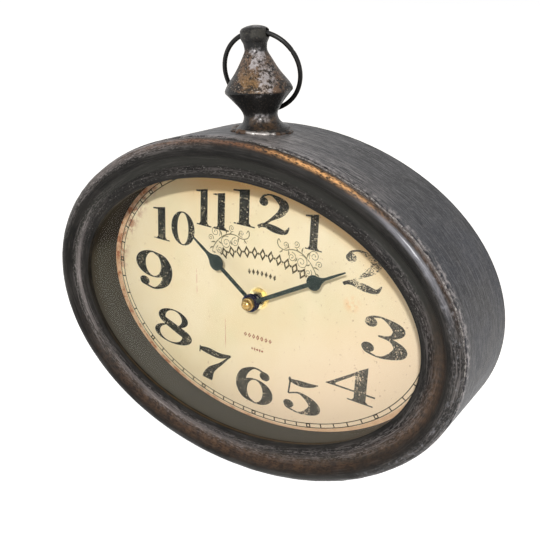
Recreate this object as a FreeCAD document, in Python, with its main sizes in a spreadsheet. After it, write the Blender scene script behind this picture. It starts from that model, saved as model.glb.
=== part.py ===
import FreeCAD
import Part
import math
import os
import re
import Sketcher
from FreeCAD import Placement, Rotation, Vector

# An oval table clock with a quartz movement, in millimetres.
# X runs to the right, the dial faces -Y and Z is up; the feet stand on Z = 0 under the middle of the case.

SIZES = {
    # case band, bezel and glass
    "case_width": 300,
    "case_height": 218,
    "case_depth": 64,
    "band_wall": 1.2,
    "seam_gap": 0.6,
    "bezel_width": 25,
    "bezel_rise": 6,
    "bezel_sheet": 1.1,
    "bead_width": 11.8,
    "cove_width": 7.6,
    "cove_height": 1.2,
    "lip_height": 2,
    "ridge_height": 3.4,
    "skirt_depth": 8,
    "skirt_clearance": 0.2,
    "glass_inset": 1.2,
    "glass_thickness": 2,
    "glass_overlap": 4,
    "foot_clearance": 1,
    "foot_width": 9,
    "foot_length": 46,
    "foot_spread": 70,
    # dial and what holds it
    "dial_depth": 28,
    "dial_half_width": 126.5,
    "dial_half_height": 90,
    "surround_wall": 0.8,
    "paper_thickness": 0.4,
    "board_thickness": 3,
    "board_clearance": 0.8,
    "tab_width": 12,
    "tab_reach": 13,
    "tab_leg": 11,
    "tab_sheet": 1.2,
    "tab_clearance": 0.3,
    "screw_inset": 8,
    "screw_head_radius": 3,
    "screw_head_height": 1.8,
    "screw_shank_radius": 1.4,
    "screw_clearance": 0.1,
    "screw_bite": 2.4,
    # back panel
    "panel_recess": 2.2,
    "panel_sheet": 1.2,
    "panel_clearance": 0.5,
    "window_width": 92,
    "window_height": 84,
    "window_corner": 10,
    # finial and its ring
    "finial_height": 61.2,
    "finial_base_radius": 17,
    "finial_neck_radius": 10.4,
    "finial_neck_height": 8.5,
    "finial_rim_radius": 20.6,
    "finial_rim_height": 22.8,
    "finial_rim_edge": 1.4,
    "finial_stem_radius": 6.8,
    "finial_stem_height": 47.2,
    "finial_head_radius": 8.7,
    "finial_bore_height": 56.2,
    "finial_bore_radius": 2.8,
    "finial_lean": 5.8,
    "finial_shift": 2,
    "finial_sink": 4,
    "bow_radius": 24.4,
    "bow_wire": 2.9,
    "bow_drop": 1.1,
    "bow_swing": 17.2,
    "bow_turn": 11,
    # movement case
    "housing_top": 27.2,
    "housing_bottom": 28.8,
    "housing_depth": 16.6,
    "housing_split": 5.8,
    "housing_wall": 1.2,
    "housing_corner": 1.2,
    "divider_height": 11.4,
    "divider_wall": 1,
    "gasket_thickness": 1,
    "gasket_width": 30,
    "bush_radius": 4,
    "bush_length": 8,
    "bush_clearance": 0.2,
    "washer_radius": 7.4,
    "washer_thickness": 0.6,
    "nut_across_flats": 11,
    "nut_thickness": 2.4,
    "post_width": 3,
    "plate_level": 5.1,
    "plate_thickness": 0.8,
    "plate_left": 17,
    "plate_right": 21,
    "plate_top": 24.1,
    "plate_gap": 0.5,
    "post_inset": 2.5,
    # wheels: fits, levels behind the movement's front, teeth
    "running_clearance": 0.06,
    "fixed_clearance": 0.02,
    "arbor_radius": 0.6,
    "wheel_thickness": 0.9,
    "pinion_margin": 0.2,
    "bearing_depth": 1.4,
    "collar_thickness": 0.5,
    "hour_level": 1.6,
    "motion_level": 3.5,
    "centre_level": 6.4,
    "third_level": 8.4,
    "second_level": 10.4,
    "intermediate_level": 12.2,
    "motion_module": 0.75,
    "cannon_teeth": 8,
    "motion_teeth": 24,
    "motion_pinion_teeth": 6,
    "hour_teeth": 24,
    "setting_teeth": 8,
    "motion_direction": 135,
    "setting_direction": 165,
    "centre_module": 0.43,
    "centre_teeth": 48,
    "third_teeth": 45,
    "pinion_teeth": 6,
    "third_direction": 60,
    "second_module": 0.56,
    "second_teeth": 36,
    "intermediate_direction": -15,
    "intermediate_module": 0.44,
    "intermediate_teeth": 30,
    "rotor_direction": 40,
    "setting_stem_radius": 1.2,
    "knob_radius": 5.5,
    "knob_height": 4.4,
    "knob_gap": 0.3,
    "knob_sides": 16,
    "spring_radius": 6,
    "spring_sheet": 0.3,
    # motor, circuit and cell
    "magnet_radius": 2.2,
    "magnet_height": 2,
    "stator_level": 9.8,
    "stator_gap": 0.4,
    "stator_width": 5.9,
    "stator_sheet": 0.8,
    "stator_top": 16.5,
    "stator_bottom": 9.5,
    "stator_arm": 2.4,
    "coil_clearance": 0.3,
    "core_width": 2.6,
    "bobbin_width": 5.6,
    "bobbin_flange": 0.8,
    "winding_radius": 2.5,
    "circuit_level": 12.4,
    "circuit_sheet": 0.8,
    "circuit_width": 26,
    "circuit_height": 7,
    "circuit_place": 5,
    "circuit_rise": 21.8,
    "crystal_radius": 1.05,
    "crystal_length": 6.2,
    "cell_radius": 7.1,
    "cell_length": 49.2,
    "cell_nub_radius": 2.7,
    "cell_nub_length": 1.2,
    "cell_clearance": 0.3,
    "contact_sheet": 0.4,
    "contact_width": 9,
    "contact_spring": 1.1,
    "contact_gap": 0.1,
    # hands
    "minute_radius": 1.5,
    "hour_tube_radius": 2.5,
    "hour_hand_lift": 8.3,
    "minute_hand_lift": 10.6,
    "hand_sheet": 0.6,
    "hub_radius": 5.8,
    "collar_radius": 3.6,
    "hour_reach": 59,
    "hour_bulb_width": 10.8,
    "hour_bulb_place": 35.4,
    "hour_bar_width": 2.6,
    "hour_angle": 307,
    "minute_reach": 76,
    "minute_bulb_width": 9.8,
    "minute_bulb_place": 52.4,
    "minute_bar_width": 2.7,
    "minute_angle": 62.5,
    "tip_width": 0.95,
    "cap_radius": 4.2,
    "cap_height": 6,
    "cap_thread": 3.4,
}

doc = FreeCAD.newDocument("oval_clock")
sheet = doc.addObject("Spreadsheet::Sheet", "sizes")
for row, (alias, number) in enumerate(SIZES.items(), 1):
    sheet.set(f"A{row}", alias)
    sheet.set(f"B{row}", str(number))
    sheet.setAlias(f"B{row}", alias)
doc.recompute()

# Places that follow from the driving sizes, as expressions over the sheet.
HALF_WIDTH = "(case_width / 2)"
HALF_HEIGHT = "(case_height / 2)"
AXIS = f"({HALF_HEIGHT} + foot_clearance)"
SEAM = "((bezel_rise - case_depth) / 2)"
BACK = "((bezel_rise + case_depth) / 2)"
GLASS_FRONT = f"({SEAM} + glass_inset)"
GLASS_BACK = f"({GLASS_FRONT} + glass_thickness)"
DIAL = f"({SEAM} + dial_depth)"
BOARD_FRONT = f"({DIAL} + paper_thickness)"
BOARD_BACK = f"({BOARD_FRONT} + board_thickness)"
MOVEMENT = f"({BOARD_BACK} + gasket_thickness)"
PANEL_FRONT = f"({BACK} - panel_recess - panel_sheet)"
BAND_TOP = f"({AXIS} + {HALF_HEIGHT})"
WALL = "(band_wall + tab_clearance)"
CELL_END = "((cell_length + cell_nub_length) / 2)"
HOUSING_INNER = f"({CELL_END} + contact_gap + contact_spring + contact_sheet)"
CORE_PLACE = f"({HOUSING_INNER} - coil_clearance - bobbin_width / 2)"

PIECES = []


def spelled(expression):
    """Write an expression over named sizes with the sheet's name before each alias."""
    return re.sub(r"[a-z_]+", lambda word: "sizes." + word.group() if word.group() in SIZES else word.group(),
                  expression)


def value(expression):
    """Read an expression over named sizes as a number."""
    return float(sheet.evalExpression(spelled(expression)))


def bind(item, **properties):
    """Bind an object's properties to expressions over named sizes."""
    for name, expression in properties.items():
        item.setExpression(name.replace("__", "."), spelled(expression))
    return item


def place(item, x="0", y="0", z="0", turn="rotationx(0)"):
    """Bind an object's place; a turn is an expression that makes a rotation."""
    item.setExpression("Placement", spelled(f"placement(vector({x}; {y}; {z}); {turn})"))
    return item


def piece(item, label):
    """Name a finished piece; its label is its file's name."""
    item.Label = label
    PIECES.append(item)
    return item


# Solids that stand square in the case


def box(x, y, z, length, depth, height):
    """A block from its low corner."""
    block = doc.addObject("Part::Box", "block")
    bind(block, Length=length, Width=depth, Height=height)
    return place(block, x, y, z)


def rod(radius, x, z, front, length):
    """A round rod along +Y, placed from the dial's centre in X and Z."""
    bar = doc.addObject("Part::Cylinder", "rod")
    bind(bar, Radius=radius, Height=length)
    return place(bar, x, front, f"{AXIS} + {z}", "rotationx(-90)")


def oval(half_width, half_height, front, length):
    """An elliptical plate about the case's axis, standing upright."""
    rim = doc.addObject("Part::Ellipse", "rim")
    bind(rim, MajorRadius=half_width, MinorRadius=half_height)
    place(rim, "0", front, AXIS, "rotationx(90)")
    plate = doc.addObject("Part::Extrusion", "plate")
    plate.Base = rim
    plate.DirMode = "Custom"
    plate.Dir = Vector(0, 1, 0)
    plate.Solid = True
    return bind(plate, LengthFwd=length)


def inset_oval(inset, front, length):
    """An elliptical plate whose edge lies inside the case's outline."""
    return oval(f"{HALF_WIDTH} - ({inset})", f"{HALF_HEIGHT} - ({inset})", front, length)


def fuse(*items):
    joined = doc.addObject("Part::MultiFuse", "joined")
    joined.Shapes = list(items)
    return joined


def cut(base, *tools):
    rest = doc.addObject("Part::Cut", "cut")
    rest.Base = base
    rest.Tool = tools[0] if len(tools) == 1 else fuse(*tools)
    return rest


def group(*items):
    """Like pieces that share one node and stay separate solids."""
    pieces = doc.addObject("Part::Compound", "group")
    pieces.Links = list(items)
    return pieces


# Bodies drawn on sketches


def body(name):
    return doc.addObject("PartDesign::Body", name)


def sketch(owner, name, role, level="0"):
    """An empty sketch on one of the body's own planes, shifted along the plane's normal."""
    drawing = owner.newObject("Sketcher::SketchObject", name)
    drawing.AttachmentSupport = [(next(o for o in owner.Origin.OriginFeatures if o.Role == role), "")]
    drawing.MapMode = "FlatFace"
    return bind(drawing, AttachmentOffset__Base__z=level)


def hold(drawing, geometry, point, x, y):
    """Hold a sketch point at a bound distance from the sketch's origin."""
    for kind, expression in (("DistanceX", x), ("DistanceY", y)):
        rule = Sketcher.Constraint(kind, -1, 1, geometry, point, value(expression))
        drawing.setExpression(f"Constraints[{drawing.addConstraint(rule)}]", spelled(expression))


def outline(drawing, corners):
    """A closed outline. A corner (x, y) starts a line, and (x, y, via_x, via_y) an arc through that point."""
    first = drawing.GeometryCount
    starts = [Vector(value(corner[0]), value(corner[1]), 0) for corner in corners]
    ends = starts[1:] + starts[:1]
    heads = []
    for start, end, corner in zip(starts, ends, corners):
        if len(corner) == 4:
            edge = Part.Arc(start, Vector(value(corner[2]), value(corner[3]), 0), end)
        else:
            edge = Part.LineSegment(start, end)
        index = drawing.addGeometry(edge, False)
        heads.append(1 if drawing.getPoint(index, 1).distanceToPoint(start) < 1e-6 else 2)
    count = len(corners)
    for step, corner in enumerate(corners):
        after = (step + 1) % count
        drawing.addConstraint(Sketcher.Constraint("Coincident", first + step, 3 - heads[step],
                                                  first + after, heads[after]))
        hold(drawing, first + step, heads[step], corner[0], corner[1])
    for step, corner in enumerate(corners):
        if len(corner) == 4:
            via = drawing.addGeometry(Part.Point(Vector(value(corner[2]), value(corner[3]), 0)), True)
            hold(drawing, via, 1, corner[2], corner[3])
            drawing.addConstraint(Sketcher.Constraint("PointOnObject", via, 1, first + step))
    return drawing


def rounded(left, right, low, high, corner):
    """Corners of an upright rectangle with rounded corners."""
    bow = f"({corner}) * (1 - cos(45))"
    return [
        (f"{left} + {corner}", low), (f"{right} - {corner}", low, f"{right} - {bow}", f"{low} + {bow}"),
        (right, f"{low} + {corner}"), (right, f"{high} - {corner}", f"{right} - {bow}", f"{high} - {bow}"),
        (f"{right} - {corner}", high), (f"{left} + {corner}", high, f"{left} + {bow}", f"{high} - {bow}"),
        (left, f"{high} - {corner}"), (left, f"{low} + {corner}", f"{left} + {bow}", f"{low} + {bow}"),
    ]


def bevelled(left, right, low, high, corner):
    """Corners of an upright rectangle with bevelled corners."""
    return [corner[:2] for corner in rounded(left, right, low, high, corner)]


def square(left, right, low, high):
    """Corners of an upright rectangle."""
    return [(left, low), (right, low), (right, high), (left, high)]


def upright(owner, name, front, corners):
    """An outline on an upright plane at a given depth, with X across and Z up."""
    return outline(sketch(owner, name, "XZ_Plane", f"-({front})"), corners)


def pad(owner, drawing, length):
    """Thicken an upright outline towards the back."""
    feature = owner.newObject("PartDesign::Pad", "pad")
    feature.Profile = drawing
    feature.Reversed = True
    return bind(feature, Length=length)


def pocket(owner, drawing, length):
    """Cut an upright outline towards the back."""
    feature = owner.newObject("PartDesign::Pocket", "pocket")
    feature.Profile = drawing
    return bind(feature, Length=length)


def turned(owner, name, role, corners, axis):
    """A turned solid from half of its section."""
    feature = owner.newObject("PartDesign::Revolution", "turned")
    drawing = outline(sketch(owner, name, role), corners)
    feature.Profile = drawing
    feature.ReferenceAxis = (drawing, [axis])
    feature.Angle = 360
    return feature


# Case band: a rolled sheet drum
band = cut(inset_oval("0", f"{SEAM} + seam_gap", "case_depth - seam_gap"),
           inset_oval("band_wall", SEAM, "case_depth + 1"))
piece(band, "case_band")

# Bezel: one pressed sheet, drawn as a section and swept round the case's outline
bezel = body("bezel")
spine = sketch(bezel, "bezel_path", "XZ_Plane", f"-({SEAM})")
spine.addGeometry(Part.Ellipse(Vector(0, value(AXIS), 0), value(HALF_WIDTH), value(HALF_HEIGHT)), False)
spine.exposeInternalGeometry(0)
hold(spine, 0, 3, "0", AXIS)
spine.addConstraint(Sketcher.Constraint("Horizontal", 1))
for axis_line, width in ((1, "case_width"), (2, "case_height")):
    rule = spine.addConstraint(Sketcher.Constraint("Distance", axis_line, value(width)))
    spine.setExpression(f"Constraints[{rule}]", spelled(width))


def section(inset, rise):
    """A point of the bezel's section: how far in from the outline, and how far in front of the seam."""
    return (f"{HALF_WIDTH} - ({inset})", f"{SEAM} - ({rise})")


SKIRT = "(band_wall + skirt_clearance)"
CREST = "(bead_width / 2)"
COVE = "(bead_width + cove_width / 2)"
RIDGE = "(bead_width + cove_width)"
UNDER = "bezel_sheet"
profile = [
    section(SKIRT, "-skirt_depth"),
    section(SKIRT, "-0.4"),
    section("0.3", "0.2"),
    section("bead_width * 0.13", "bezel_rise * 0.68"),
    section("bead_width * 0.3", "bezel_rise * 0.94"),
    section(CREST, "bezel_rise"),
    section("bead_width * 0.76", "bezel_rise * 0.82"),
    section("bead_width", "bezel_rise * 0.45"),
    section(COVE, "cove_height"),
    section(RIDGE, "ridge_height"),
    section("bezel_width", "lip_height"),
    section("bezel_width", "-glass_inset"),
    section(f"bezel_width - {UNDER}", "-glass_inset"),
    section(f"bezel_width - {UNDER}", f"lip_height - {UNDER}"),
    section(f"{COVE} - {UNDER} * 0.4", f"cove_height - {UNDER}"),
    section(f"{CREST} + {UNDER} * 0.4", f"bezel_rise - {UNDER}"),
    section(f"{SKIRT} + {UNDER}", "bezel_rise * 0.45"),
    section(f"{SKIRT} + {UNDER}", "-skirt_depth"),
]
ring = bezel.newObject("PartDesign::AdditivePipe", "bezel_ring")
ring.Profile = outline(sketch(bezel, "bezel_section", "XY_Plane", AXIS), profile)
ring.Spine = (spine, ["Edge1"])
piece(bezel, "bezel")

# Glass, held between the bezel's turned-in lip and the dial surround
glass_inset = "bezel_width - glass_overlap"
piece(inset_oval(glass_inset, GLASS_FRONT, "glass_thickness"), "glass")

# Dial surround: a painted strip bent to the dial's outline
surround = cut(oval("dial_half_width + surround_wall", "dial_half_height + surround_wall", GLASS_BACK,
                    f"{DIAL} - {GLASS_BACK}"),
               oval("dial_half_width", "dial_half_height", GLASS_BACK, f"{DIAL} - {GLASS_BACK}"))
piece(surround, "dial_surround")

# Dial: printed paper on a board, with a hole for the movement's bush
board_edge = "band_wall + board_clearance"
bush_hole = "bush_radius + bush_clearance"
paper = cut(inset_oval(board_edge, DIAL, "paper_thickness"), rod(bush_hole, "0", "0", DIAL, "paper_thickness"))
piece(paper, "dial_paper")
board = cut(inset_oval(board_edge, BOARD_FRONT, "board_thickness"),
            rod(bush_hole, "0", "0", BOARD_FRONT, "board_thickness"))
piece(board, "dial_board")


# Tabs: bent strips spot-welded inside the band, behind the dial board and in front of the back panel
def side_block(sign, inset, thickness, front, depth):
    """A block beside the case wall, on the oval's long axis (sign -1 or 1)."""
    low = f"{sign} * ({HALF_WIDTH} - {inset}) - ({thickness}) * {max(sign, 0)}"
    return box(low, front, f"{AXIS} - tab_width / 2", thickness, depth, "tab_width")


def end_block(sign, inset, thickness, front, depth):
    """A block beside the case wall, on the oval's short axis (sign -1 or 1)."""
    low = f"{AXIS} + {sign} * ({HALF_HEIGHT} - {inset}) - ({thickness}) * {max(sign, 0)}"
    return box("-tab_width / 2", front, low, "tab_width", depth, thickness)


def tab(block, sign, ear, leg):
    """A bent tab: an ear across the case and a leg along its wall."""
    return fuse(block(sign, WALL, "tab_reach", ear, "tab_sheet"),
                block(sign, WALL, "tab_sheet", leg, "tab_leg"))


def side_rod(sign, radius, front, length):
    """A rod through the ear of a tab on the long axis."""
    return rod(radius, f"{sign} * ({HALF_WIDTH} - {WALL} - screw_inset)", "0", front, length)


SIGNS = (-1, 1)
dial_tabs = [tab(block, sign, BOARD_BACK, BOARD_BACK) for block in (side_block, end_block) for sign in SIGNS]
piece(group(*dial_tabs), "dial_tabs")
ear_front = f"({PANEL_FRONT} - tab_sheet)"
leg_front = f"({PANEL_FRONT} - tab_leg)"
screw_hole = "screw_shank_radius + screw_clearance"
panel_tabs = [cut(tab(side_block, sign, ear_front, leg_front),
                  side_rod(sign, screw_hole, ear_front, "tab_sheet"))
              for sign in SIGNS]
panel_tabs += [tab(end_block, sign, ear_front, leg_front) for sign in SIGNS]
piece(group(*panel_tabs), "panel_tabs")
head_front = f"({PANEL_FRONT} + panel_sheet)"
shank = "panel_sheet + tab_sheet + screw_bite"
panel_screws = [fuse(side_rod(sign, "screw_head_radius", head_front, "screw_head_height"),
                     side_rod(sign, "screw_shank_radius", f"{head_front} - ({shank})", shank))
                for sign in SIGNS]
piece(group(*panel_screws), "panel_screws")

# Back panel with the window through which the cell and the setting knob are reached
window = body("window")
pad(window, upright(window, "window_outline", PANEL_FRONT, rounded(
    "-window_width / 2", "window_width / 2", f"{AXIS} - window_height / 2", f"{AXIS} + window_height / 2",
    "window_corner")), "panel_sheet")
panel = cut(inset_oval("band_wall + panel_clearance", PANEL_FRONT, "panel_sheet"), window,
            *[side_rod(sign, screw_hole, PANEL_FRONT, "panel_sheet") for sign in SIGNS])
piece(panel, "back_panel")

# Feet: strips whose tops follow the underside of the band
outer_drum = inset_oval("0", f"{SEAM} - 20", "case_depth + 40")
feet = [cut(box(f"{sign} * foot_spread / 2 - foot_width / 2", "(bezel_rise - foot_length) / 2", "0",
                "foot_width", "foot_length", HALF_HEIGHT), outer_drum) for sign in SIGNS]
piece(group(*feet), "feet")

# Finial: turned from sheet and brazed to the top of the band, leaning to the left.
# A cross bore in its head carries the ring.
LEANING = f"placement(vector(-finial_shift; bezel_rise / 2; {BAND_TOP}); rotationy(-finial_lean))"


def stand(item, x="0", y="0", z="0", turn="rotationx(0)"):
    """Bind the place of an object measured from the finial's foot, along its leaning axis."""
    item.setExpression("Placement", spelled(f"{LEANING} * placement(vector({x}; {y}; {z}); {turn})"))
    return item


knop = body("knop")
knop_section = [
    ("0", "-finial_sink"),
    ("finial_base_radius", "-finial_sink"),
    ("finial_base_radius", "1.2"),
    ("finial_neck_radius + 2.6", "finial_neck_height * 0.42"),
    ("finial_neck_radius", "finial_neck_height"),
    ("finial_rim_radius", "finial_rim_height"),
    ("finial_rim_radius", "finial_rim_height + finial_rim_edge"),
    ("finial_rim_radius - 2.1", "finial_rim_height + 5.2"),
    ("finial_stem_radius + 2.9", "finial_stem_height - 6.2"),
    ("finial_stem_radius", "finial_stem_height"),
    ("finial_stem_radius + 0.4", "finial_stem_height + 3.2"),
    ("finial_head_radius", "finial_stem_height + 6.2"),
    ("finial_head_radius", "finial_height - 3.2"),
    ("finial_head_radius * 0.66", "finial_height - 1.1"),
    ("0", "finial_height"),
]
turned(knop, "knop_section", "XZ_Plane", knop_section, "V_Axis")
stand(knop)
bore = doc.addObject("Part::Cylinder", "bore")
bind(bore, Radius="finial_bore_radius", Height="finial_head_radius * 4")
bow_turn = "rotationz(bow_turn)"
stand(bore, "-cos(bow_turn) * finial_head_radius * 2", "-sin(bow_turn) * finial_head_radius * 2",
      "finial_bore_height", f"{bow_turn} * rotationy(90)")
piece(cut(knop, outer_drum, bore), "finial")

# Ring: bent wire that hangs in the cross bore and leans on the back of the finial
bow = body("bow")
wire = [(f"bow_radius + bow_wire / 2 * cos({turn})", f"bow_wire / 2 * sin({turn})")
        for turn in range(0, 360, 36)]
turned(bow, "bow_section", "XZ_Plane", wire, "V_Axis")
hang = "(bow_radius - bow_drop)"
stand(bow, f"-sin(bow_turn) * sin(bow_swing) * {hang}", f"cos(bow_turn) * sin(bow_swing) * {hang}",
      f"finial_bore_height - cos(bow_swing) * {hang}", f"{bow_turn} * rotationx(bow_swing - 90)")
piece(bow, "bow_ring")

# Movement case: a front tray with the threaded bush and a rear cover with the cell's bay
HOUSING = (f"-({HOUSING_INNER} + housing_wall)", f"({HOUSING_INNER} + housing_wall)", f"{AXIS} - housing_bottom",
           f"{AXIS} + housing_top")
INNER = (f"-{HOUSING_INNER}", HOUSING_INNER)
GEAR_ROOM = INNER + (f"{AXIS} - divider_height", f"{AXIS} + housing_top - housing_wall")
CELL_ROOM = INNER + (f"{AXIS} - housing_bottom + housing_wall", f"{AXIS} - divider_height - divider_wall")
SPLIT = f"({MOVEMENT} + housing_split)"

# Axes of the wheels, measured from the dial's centre in X and Z


def along(start, distance, direction):
    """A point at a distance and a direction, in degrees, from another one."""
    turn = math.radians(direction)
    return (start[0] + distance * math.cos(turn), start[1] + distance * math.sin(turn))


def spacing(module, teeth, other):
    """Distance between the axes of two wheels in mesh."""
    return value(f"{module} * ({teeth} + {other}) / 2")


middle = (0.0, 0.0)
motion_axis = along(middle, spacing("motion_module", "cannon_teeth", "motion_teeth"), value("motion_direction"))
setting_axis = along(motion_axis, spacing("motion_module", "motion_teeth", "setting_teeth"),
                     value("setting_direction"))
third_axis = along(middle, spacing("centre_module", "centre_teeth", "pinion_teeth"), value("third_direction"))
intermediate_axis = along(middle, spacing("second_module", "second_teeth", "pinion_teeth"),
                          value("intermediate_direction"))
rotor_axis = along(intermediate_axis, spacing("intermediate_module", "intermediate_teeth", "pinion_teeth"),
                   value("rotor_direction"))
third_module = "centre_module * (centre_teeth + pinion_teeth) / (third_teeth + pinion_teeth)"
hour_module = "motion_module * (cannon_teeth + motion_teeth) / (hour_teeth + motion_pinion_teeth)"


def axis_rod(axis, radius, front, length):
    """A rod about one of the wheels' axes; the front is measured from the movement's front."""
    return rod(radius, str(axis[0]), str(axis[1]), f"{MOVEMENT} + {front}", length)


def axis_post(x, z, front, back):
    """A square post between two depths, measured from the movement's front."""
    return box(f"{x} - post_width / 2", f"{MOVEMENT} + {front}", f"{AXIS} + {z} - post_width / 2", "post_width",
               f"{back} - ({front})", "post_width")


bearing = "arbor_radius + running_clearance"
PLATE_LOW = "(plate_gap - divider_height)"
post_left, post_right = "(post_inset - plate_left)", "(plate_right - post_inset)"
plate_posts = [(post_left, f"({PLATE_LOW} + post_inset)"), (post_right, f"({PLATE_LOW} + post_inset)"),
               (post_right, "(plate_top - post_inset)")]
tray = body("tray")
pad(tray, upright(tray, "tray_outline", MOVEMENT, bevelled(*HOUSING, "housing_corner")), "housing_split")
for name, room in (("gear_room", GEAR_ROOM), ("cell_room", CELL_ROOM)):
    pocket(tray, upright(tray, name, f"{MOVEMENT} + housing_wall", square(*room)), "housing_split")
posts = [axis_post(*post, "housing_wall", "plate_level") for post in plate_posts]
posts.append(axis_rod(motion_axis, "arbor_radius", "housing_wall",
                      "plate_level - housing_wall - running_clearance"))
bush_front = f"{MOVEMENT} - bush_length"
bush = rod("bush_radius", "0", "0", bush_front, "bush_length")
bush_bore = rod("hour_tube_radius + running_clearance", "0", "0", bush_front, "bush_length + housing_wall")
piece(cut(fuse(tray, bush, *posts), bush_bore), "front_housing")

cover = body("cover")
cover_depth = "(housing_depth - housing_split)"
room_back = "(housing_depth - housing_wall - bearing_depth)"
pad(cover, upright(cover, "cover_outline", SPLIT, bevelled(*HOUSING, "housing_corner")), cover_depth)
pocket(cover, upright(cover, "cover_gear_room", SPLIT, square(*GEAR_ROOM)), f"{room_back} - housing_split")
pocket(cover, upright(cover, "cover_cell_room", SPLIT, square(*CELL_ROOM)), cover_depth)
core_back = "(stator_level + stator_sheet * 2)"
circuit_back = "(circuit_level + circuit_sheet)"
posts = [axis_post(CORE_PLACE, end, core_back, room_back)
         for end in ("(stator_arm / 2 - stator_bottom)", "(stator_top - stator_arm / 2)")]
posts += [axis_post(f"circuit_place + {sign} * circuit_width * 0.4", "circuit_rise", circuit_back, room_back)
          for sign in SIGNS]
bearings = [axis_rod(axis, bearing, room_back, "bearing_depth")
            for axis in (middle, third_axis, intermediate_axis, rotor_axis)]
bearings.append(axis_rod(setting_axis, "setting_stem_radius + running_clearance", room_back,
                         f"housing_depth - {room_back}"))
piece(cut(fuse(cover, *posts), *bearings), "rear_housing")

# What clamps the movement to the dial
gasket = cut(box("gasket_width / -2", BOARD_BACK, f"{AXIS} - gasket_width / 2", "gasket_width", "gasket_thickness",
                 "gasket_width"), rod(bush_hole, "0", "0", BOARD_BACK, "gasket_thickness"))
piece(gasket, "mounting_gasket")
washer_front = f"({DIAL} - washer_thickness)"
washer = cut(rod("washer_radius", "0", "0", washer_front, "washer_thickness"),
             rod(bush_hole, "0", "0", washer_front, "washer_thickness"))
piece(washer, "mounting_washer")
nut = doc.addObject("Part::Prism", "nut")
nut.Polygon = 6
bind(nut, Circumradius="nut_across_flats / 2 / cos(30)", Height="nut_thickness")
nut_front = f"({washer_front} - nut_thickness)"
place(nut, "0", nut_front, AXIS, "rotationx(-90)")
piece(cut(nut, rod("bush_radius + fixed_clearance", "0", "0", nut_front, "nut_thickness")), "mounting_nut")

# Train plate that carries the front pivots
plate = box("-plate_left", f"{MOVEMENT} + plate_level", f"{AXIS} + {PLATE_LOW}", "plate_left + plate_right",
            "plate_thickness", f"plate_top - {PLATE_LOW}")
plate_holes = [axis_rod(axis, bearing, "plate_level", "plate_thickness")
               for axis in (third_axis, intermediate_axis, rotor_axis)]
plate_holes.append(axis_rod(middle, "minute_radius + running_clearance", "plate_level", "plate_thickness"))
piece(cut(plate, *plate_holes), "train_plate")

# Wheels: straight-flanked teeth, with each wheel turned so that it meshes at rest


def toothed(teeth, module):
    """A toothed outline about Y: a wheel's teeth meet at the roots, a pinion's leaves stand apart."""
    pitch = module * teeth / 2
    tip = pitch + 0.7 * module
    root = pitch - 1.4 * module
    step = 2 * math.pi / teeth
    tip_turn = 0.24 * module / tip
    root_turn = min(step / 2, 0.55 * module / root)
    shape = [(root, -root_turn), (tip, -tip_turn), (tip, tip_turn)]
    if root_turn < step / 2:
        shape.append((root, root_turn))
    points = [Vector(radius * math.cos(turn + tooth * step), 0, radius * math.sin(turn + tooth * step))
              for tooth in range(teeth) for radius, turn in shape]
    return Part.Face(Part.makePolygon(points + points[:1]))


def meshing(turn, teeth, other, direction):
    """How far another wheel is turned so that a gap of it meets a tooth of this one, in degrees."""
    step = 360 / teeth
    lead = (turn - direction + step / 2) % step - step / 2
    return direction + 180 - lead * teeth / other + 180 / other


def layer(teeth, module, level, thickness, turn):
    """One toothed layer: its front is measured from the movement's front."""
    solid = toothed(teeth, module).extrude(Vector(0, thickness, 0))
    solid.rotate(Vector(0, 0, 0), Vector(0, 1, 0), -turn)
    solid.translate(Vector(0, level, 0))
    return solid


def round_layer(radius, level, length):
    return Part.makeCylinder(radius, length, Vector(0, level, 0), Vector(0, 1, 0))


def wheel(label, axis, layers, bores=()):
    """A moulded wheel on its axis, made of layers and opened by bores."""
    solid = layers[0].multiFuse(layers[1:]) if len(layers) > 1 else layers[0]
    for hole in bores:
        solid = solid.cut(hole)
    item = doc.addObject("Part::Feature", label)
    item.Shape = solid.removeSplitter()
    item.Placement = Placement(Vector(axis[0], value(MOVEMENT), value(AXIS) + axis[1]), Rotation())
    return piece(item, label)


thick = value("wheel_thickness")
margin = value("pinion_margin")
fit = value("running_clearance")
arbor = value("arbor_radius")
pivot_front = value("plate_level + running_clearance")
pivot_back = value("housing_depth - housing_wall - running_clearance")
counts = {name: int(value(name)) for name in SIZES if name.endswith("teeth")}
pinion = counts["pinion_teeth"]


def wheel_layer(name, module, level, turn):
    return layer(counts[name], value(module), value(level), thick, turn)


def pinion_layer(teeth, module, level, turn):
    return layer(teeth, value(module), value(level) - margin, thick + 2 * margin, turn)


def spindle(front=pivot_front):
    return round_layer(arbor, front, pivot_back - front)


cannon_turn = 90.0
motion_turn = meshing(cannon_turn, counts["cannon_teeth"], counts["motion_teeth"], value("motion_direction"))
hour_turn = meshing(motion_turn, counts["motion_pinion_teeth"], counts["hour_teeth"],
                    value("motion_direction") + 180)
setting_turn = meshing(motion_turn, counts["motion_teeth"], counts["setting_teeth"], value("setting_direction"))
centre_turn = 90.0
third_turn = meshing(centre_turn, counts["centre_teeth"], pinion, value("third_direction"))
second_turn = meshing(third_turn, counts["third_teeth"], pinion, value("third_direction") + 180)
intermediate_turn = meshing(second_turn, counts["second_teeth"], pinion, value("intermediate_direction"))
rotor_turn = meshing(intermediate_turn, counts["intermediate_teeth"], pinion, value("rotor_direction"))

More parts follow.
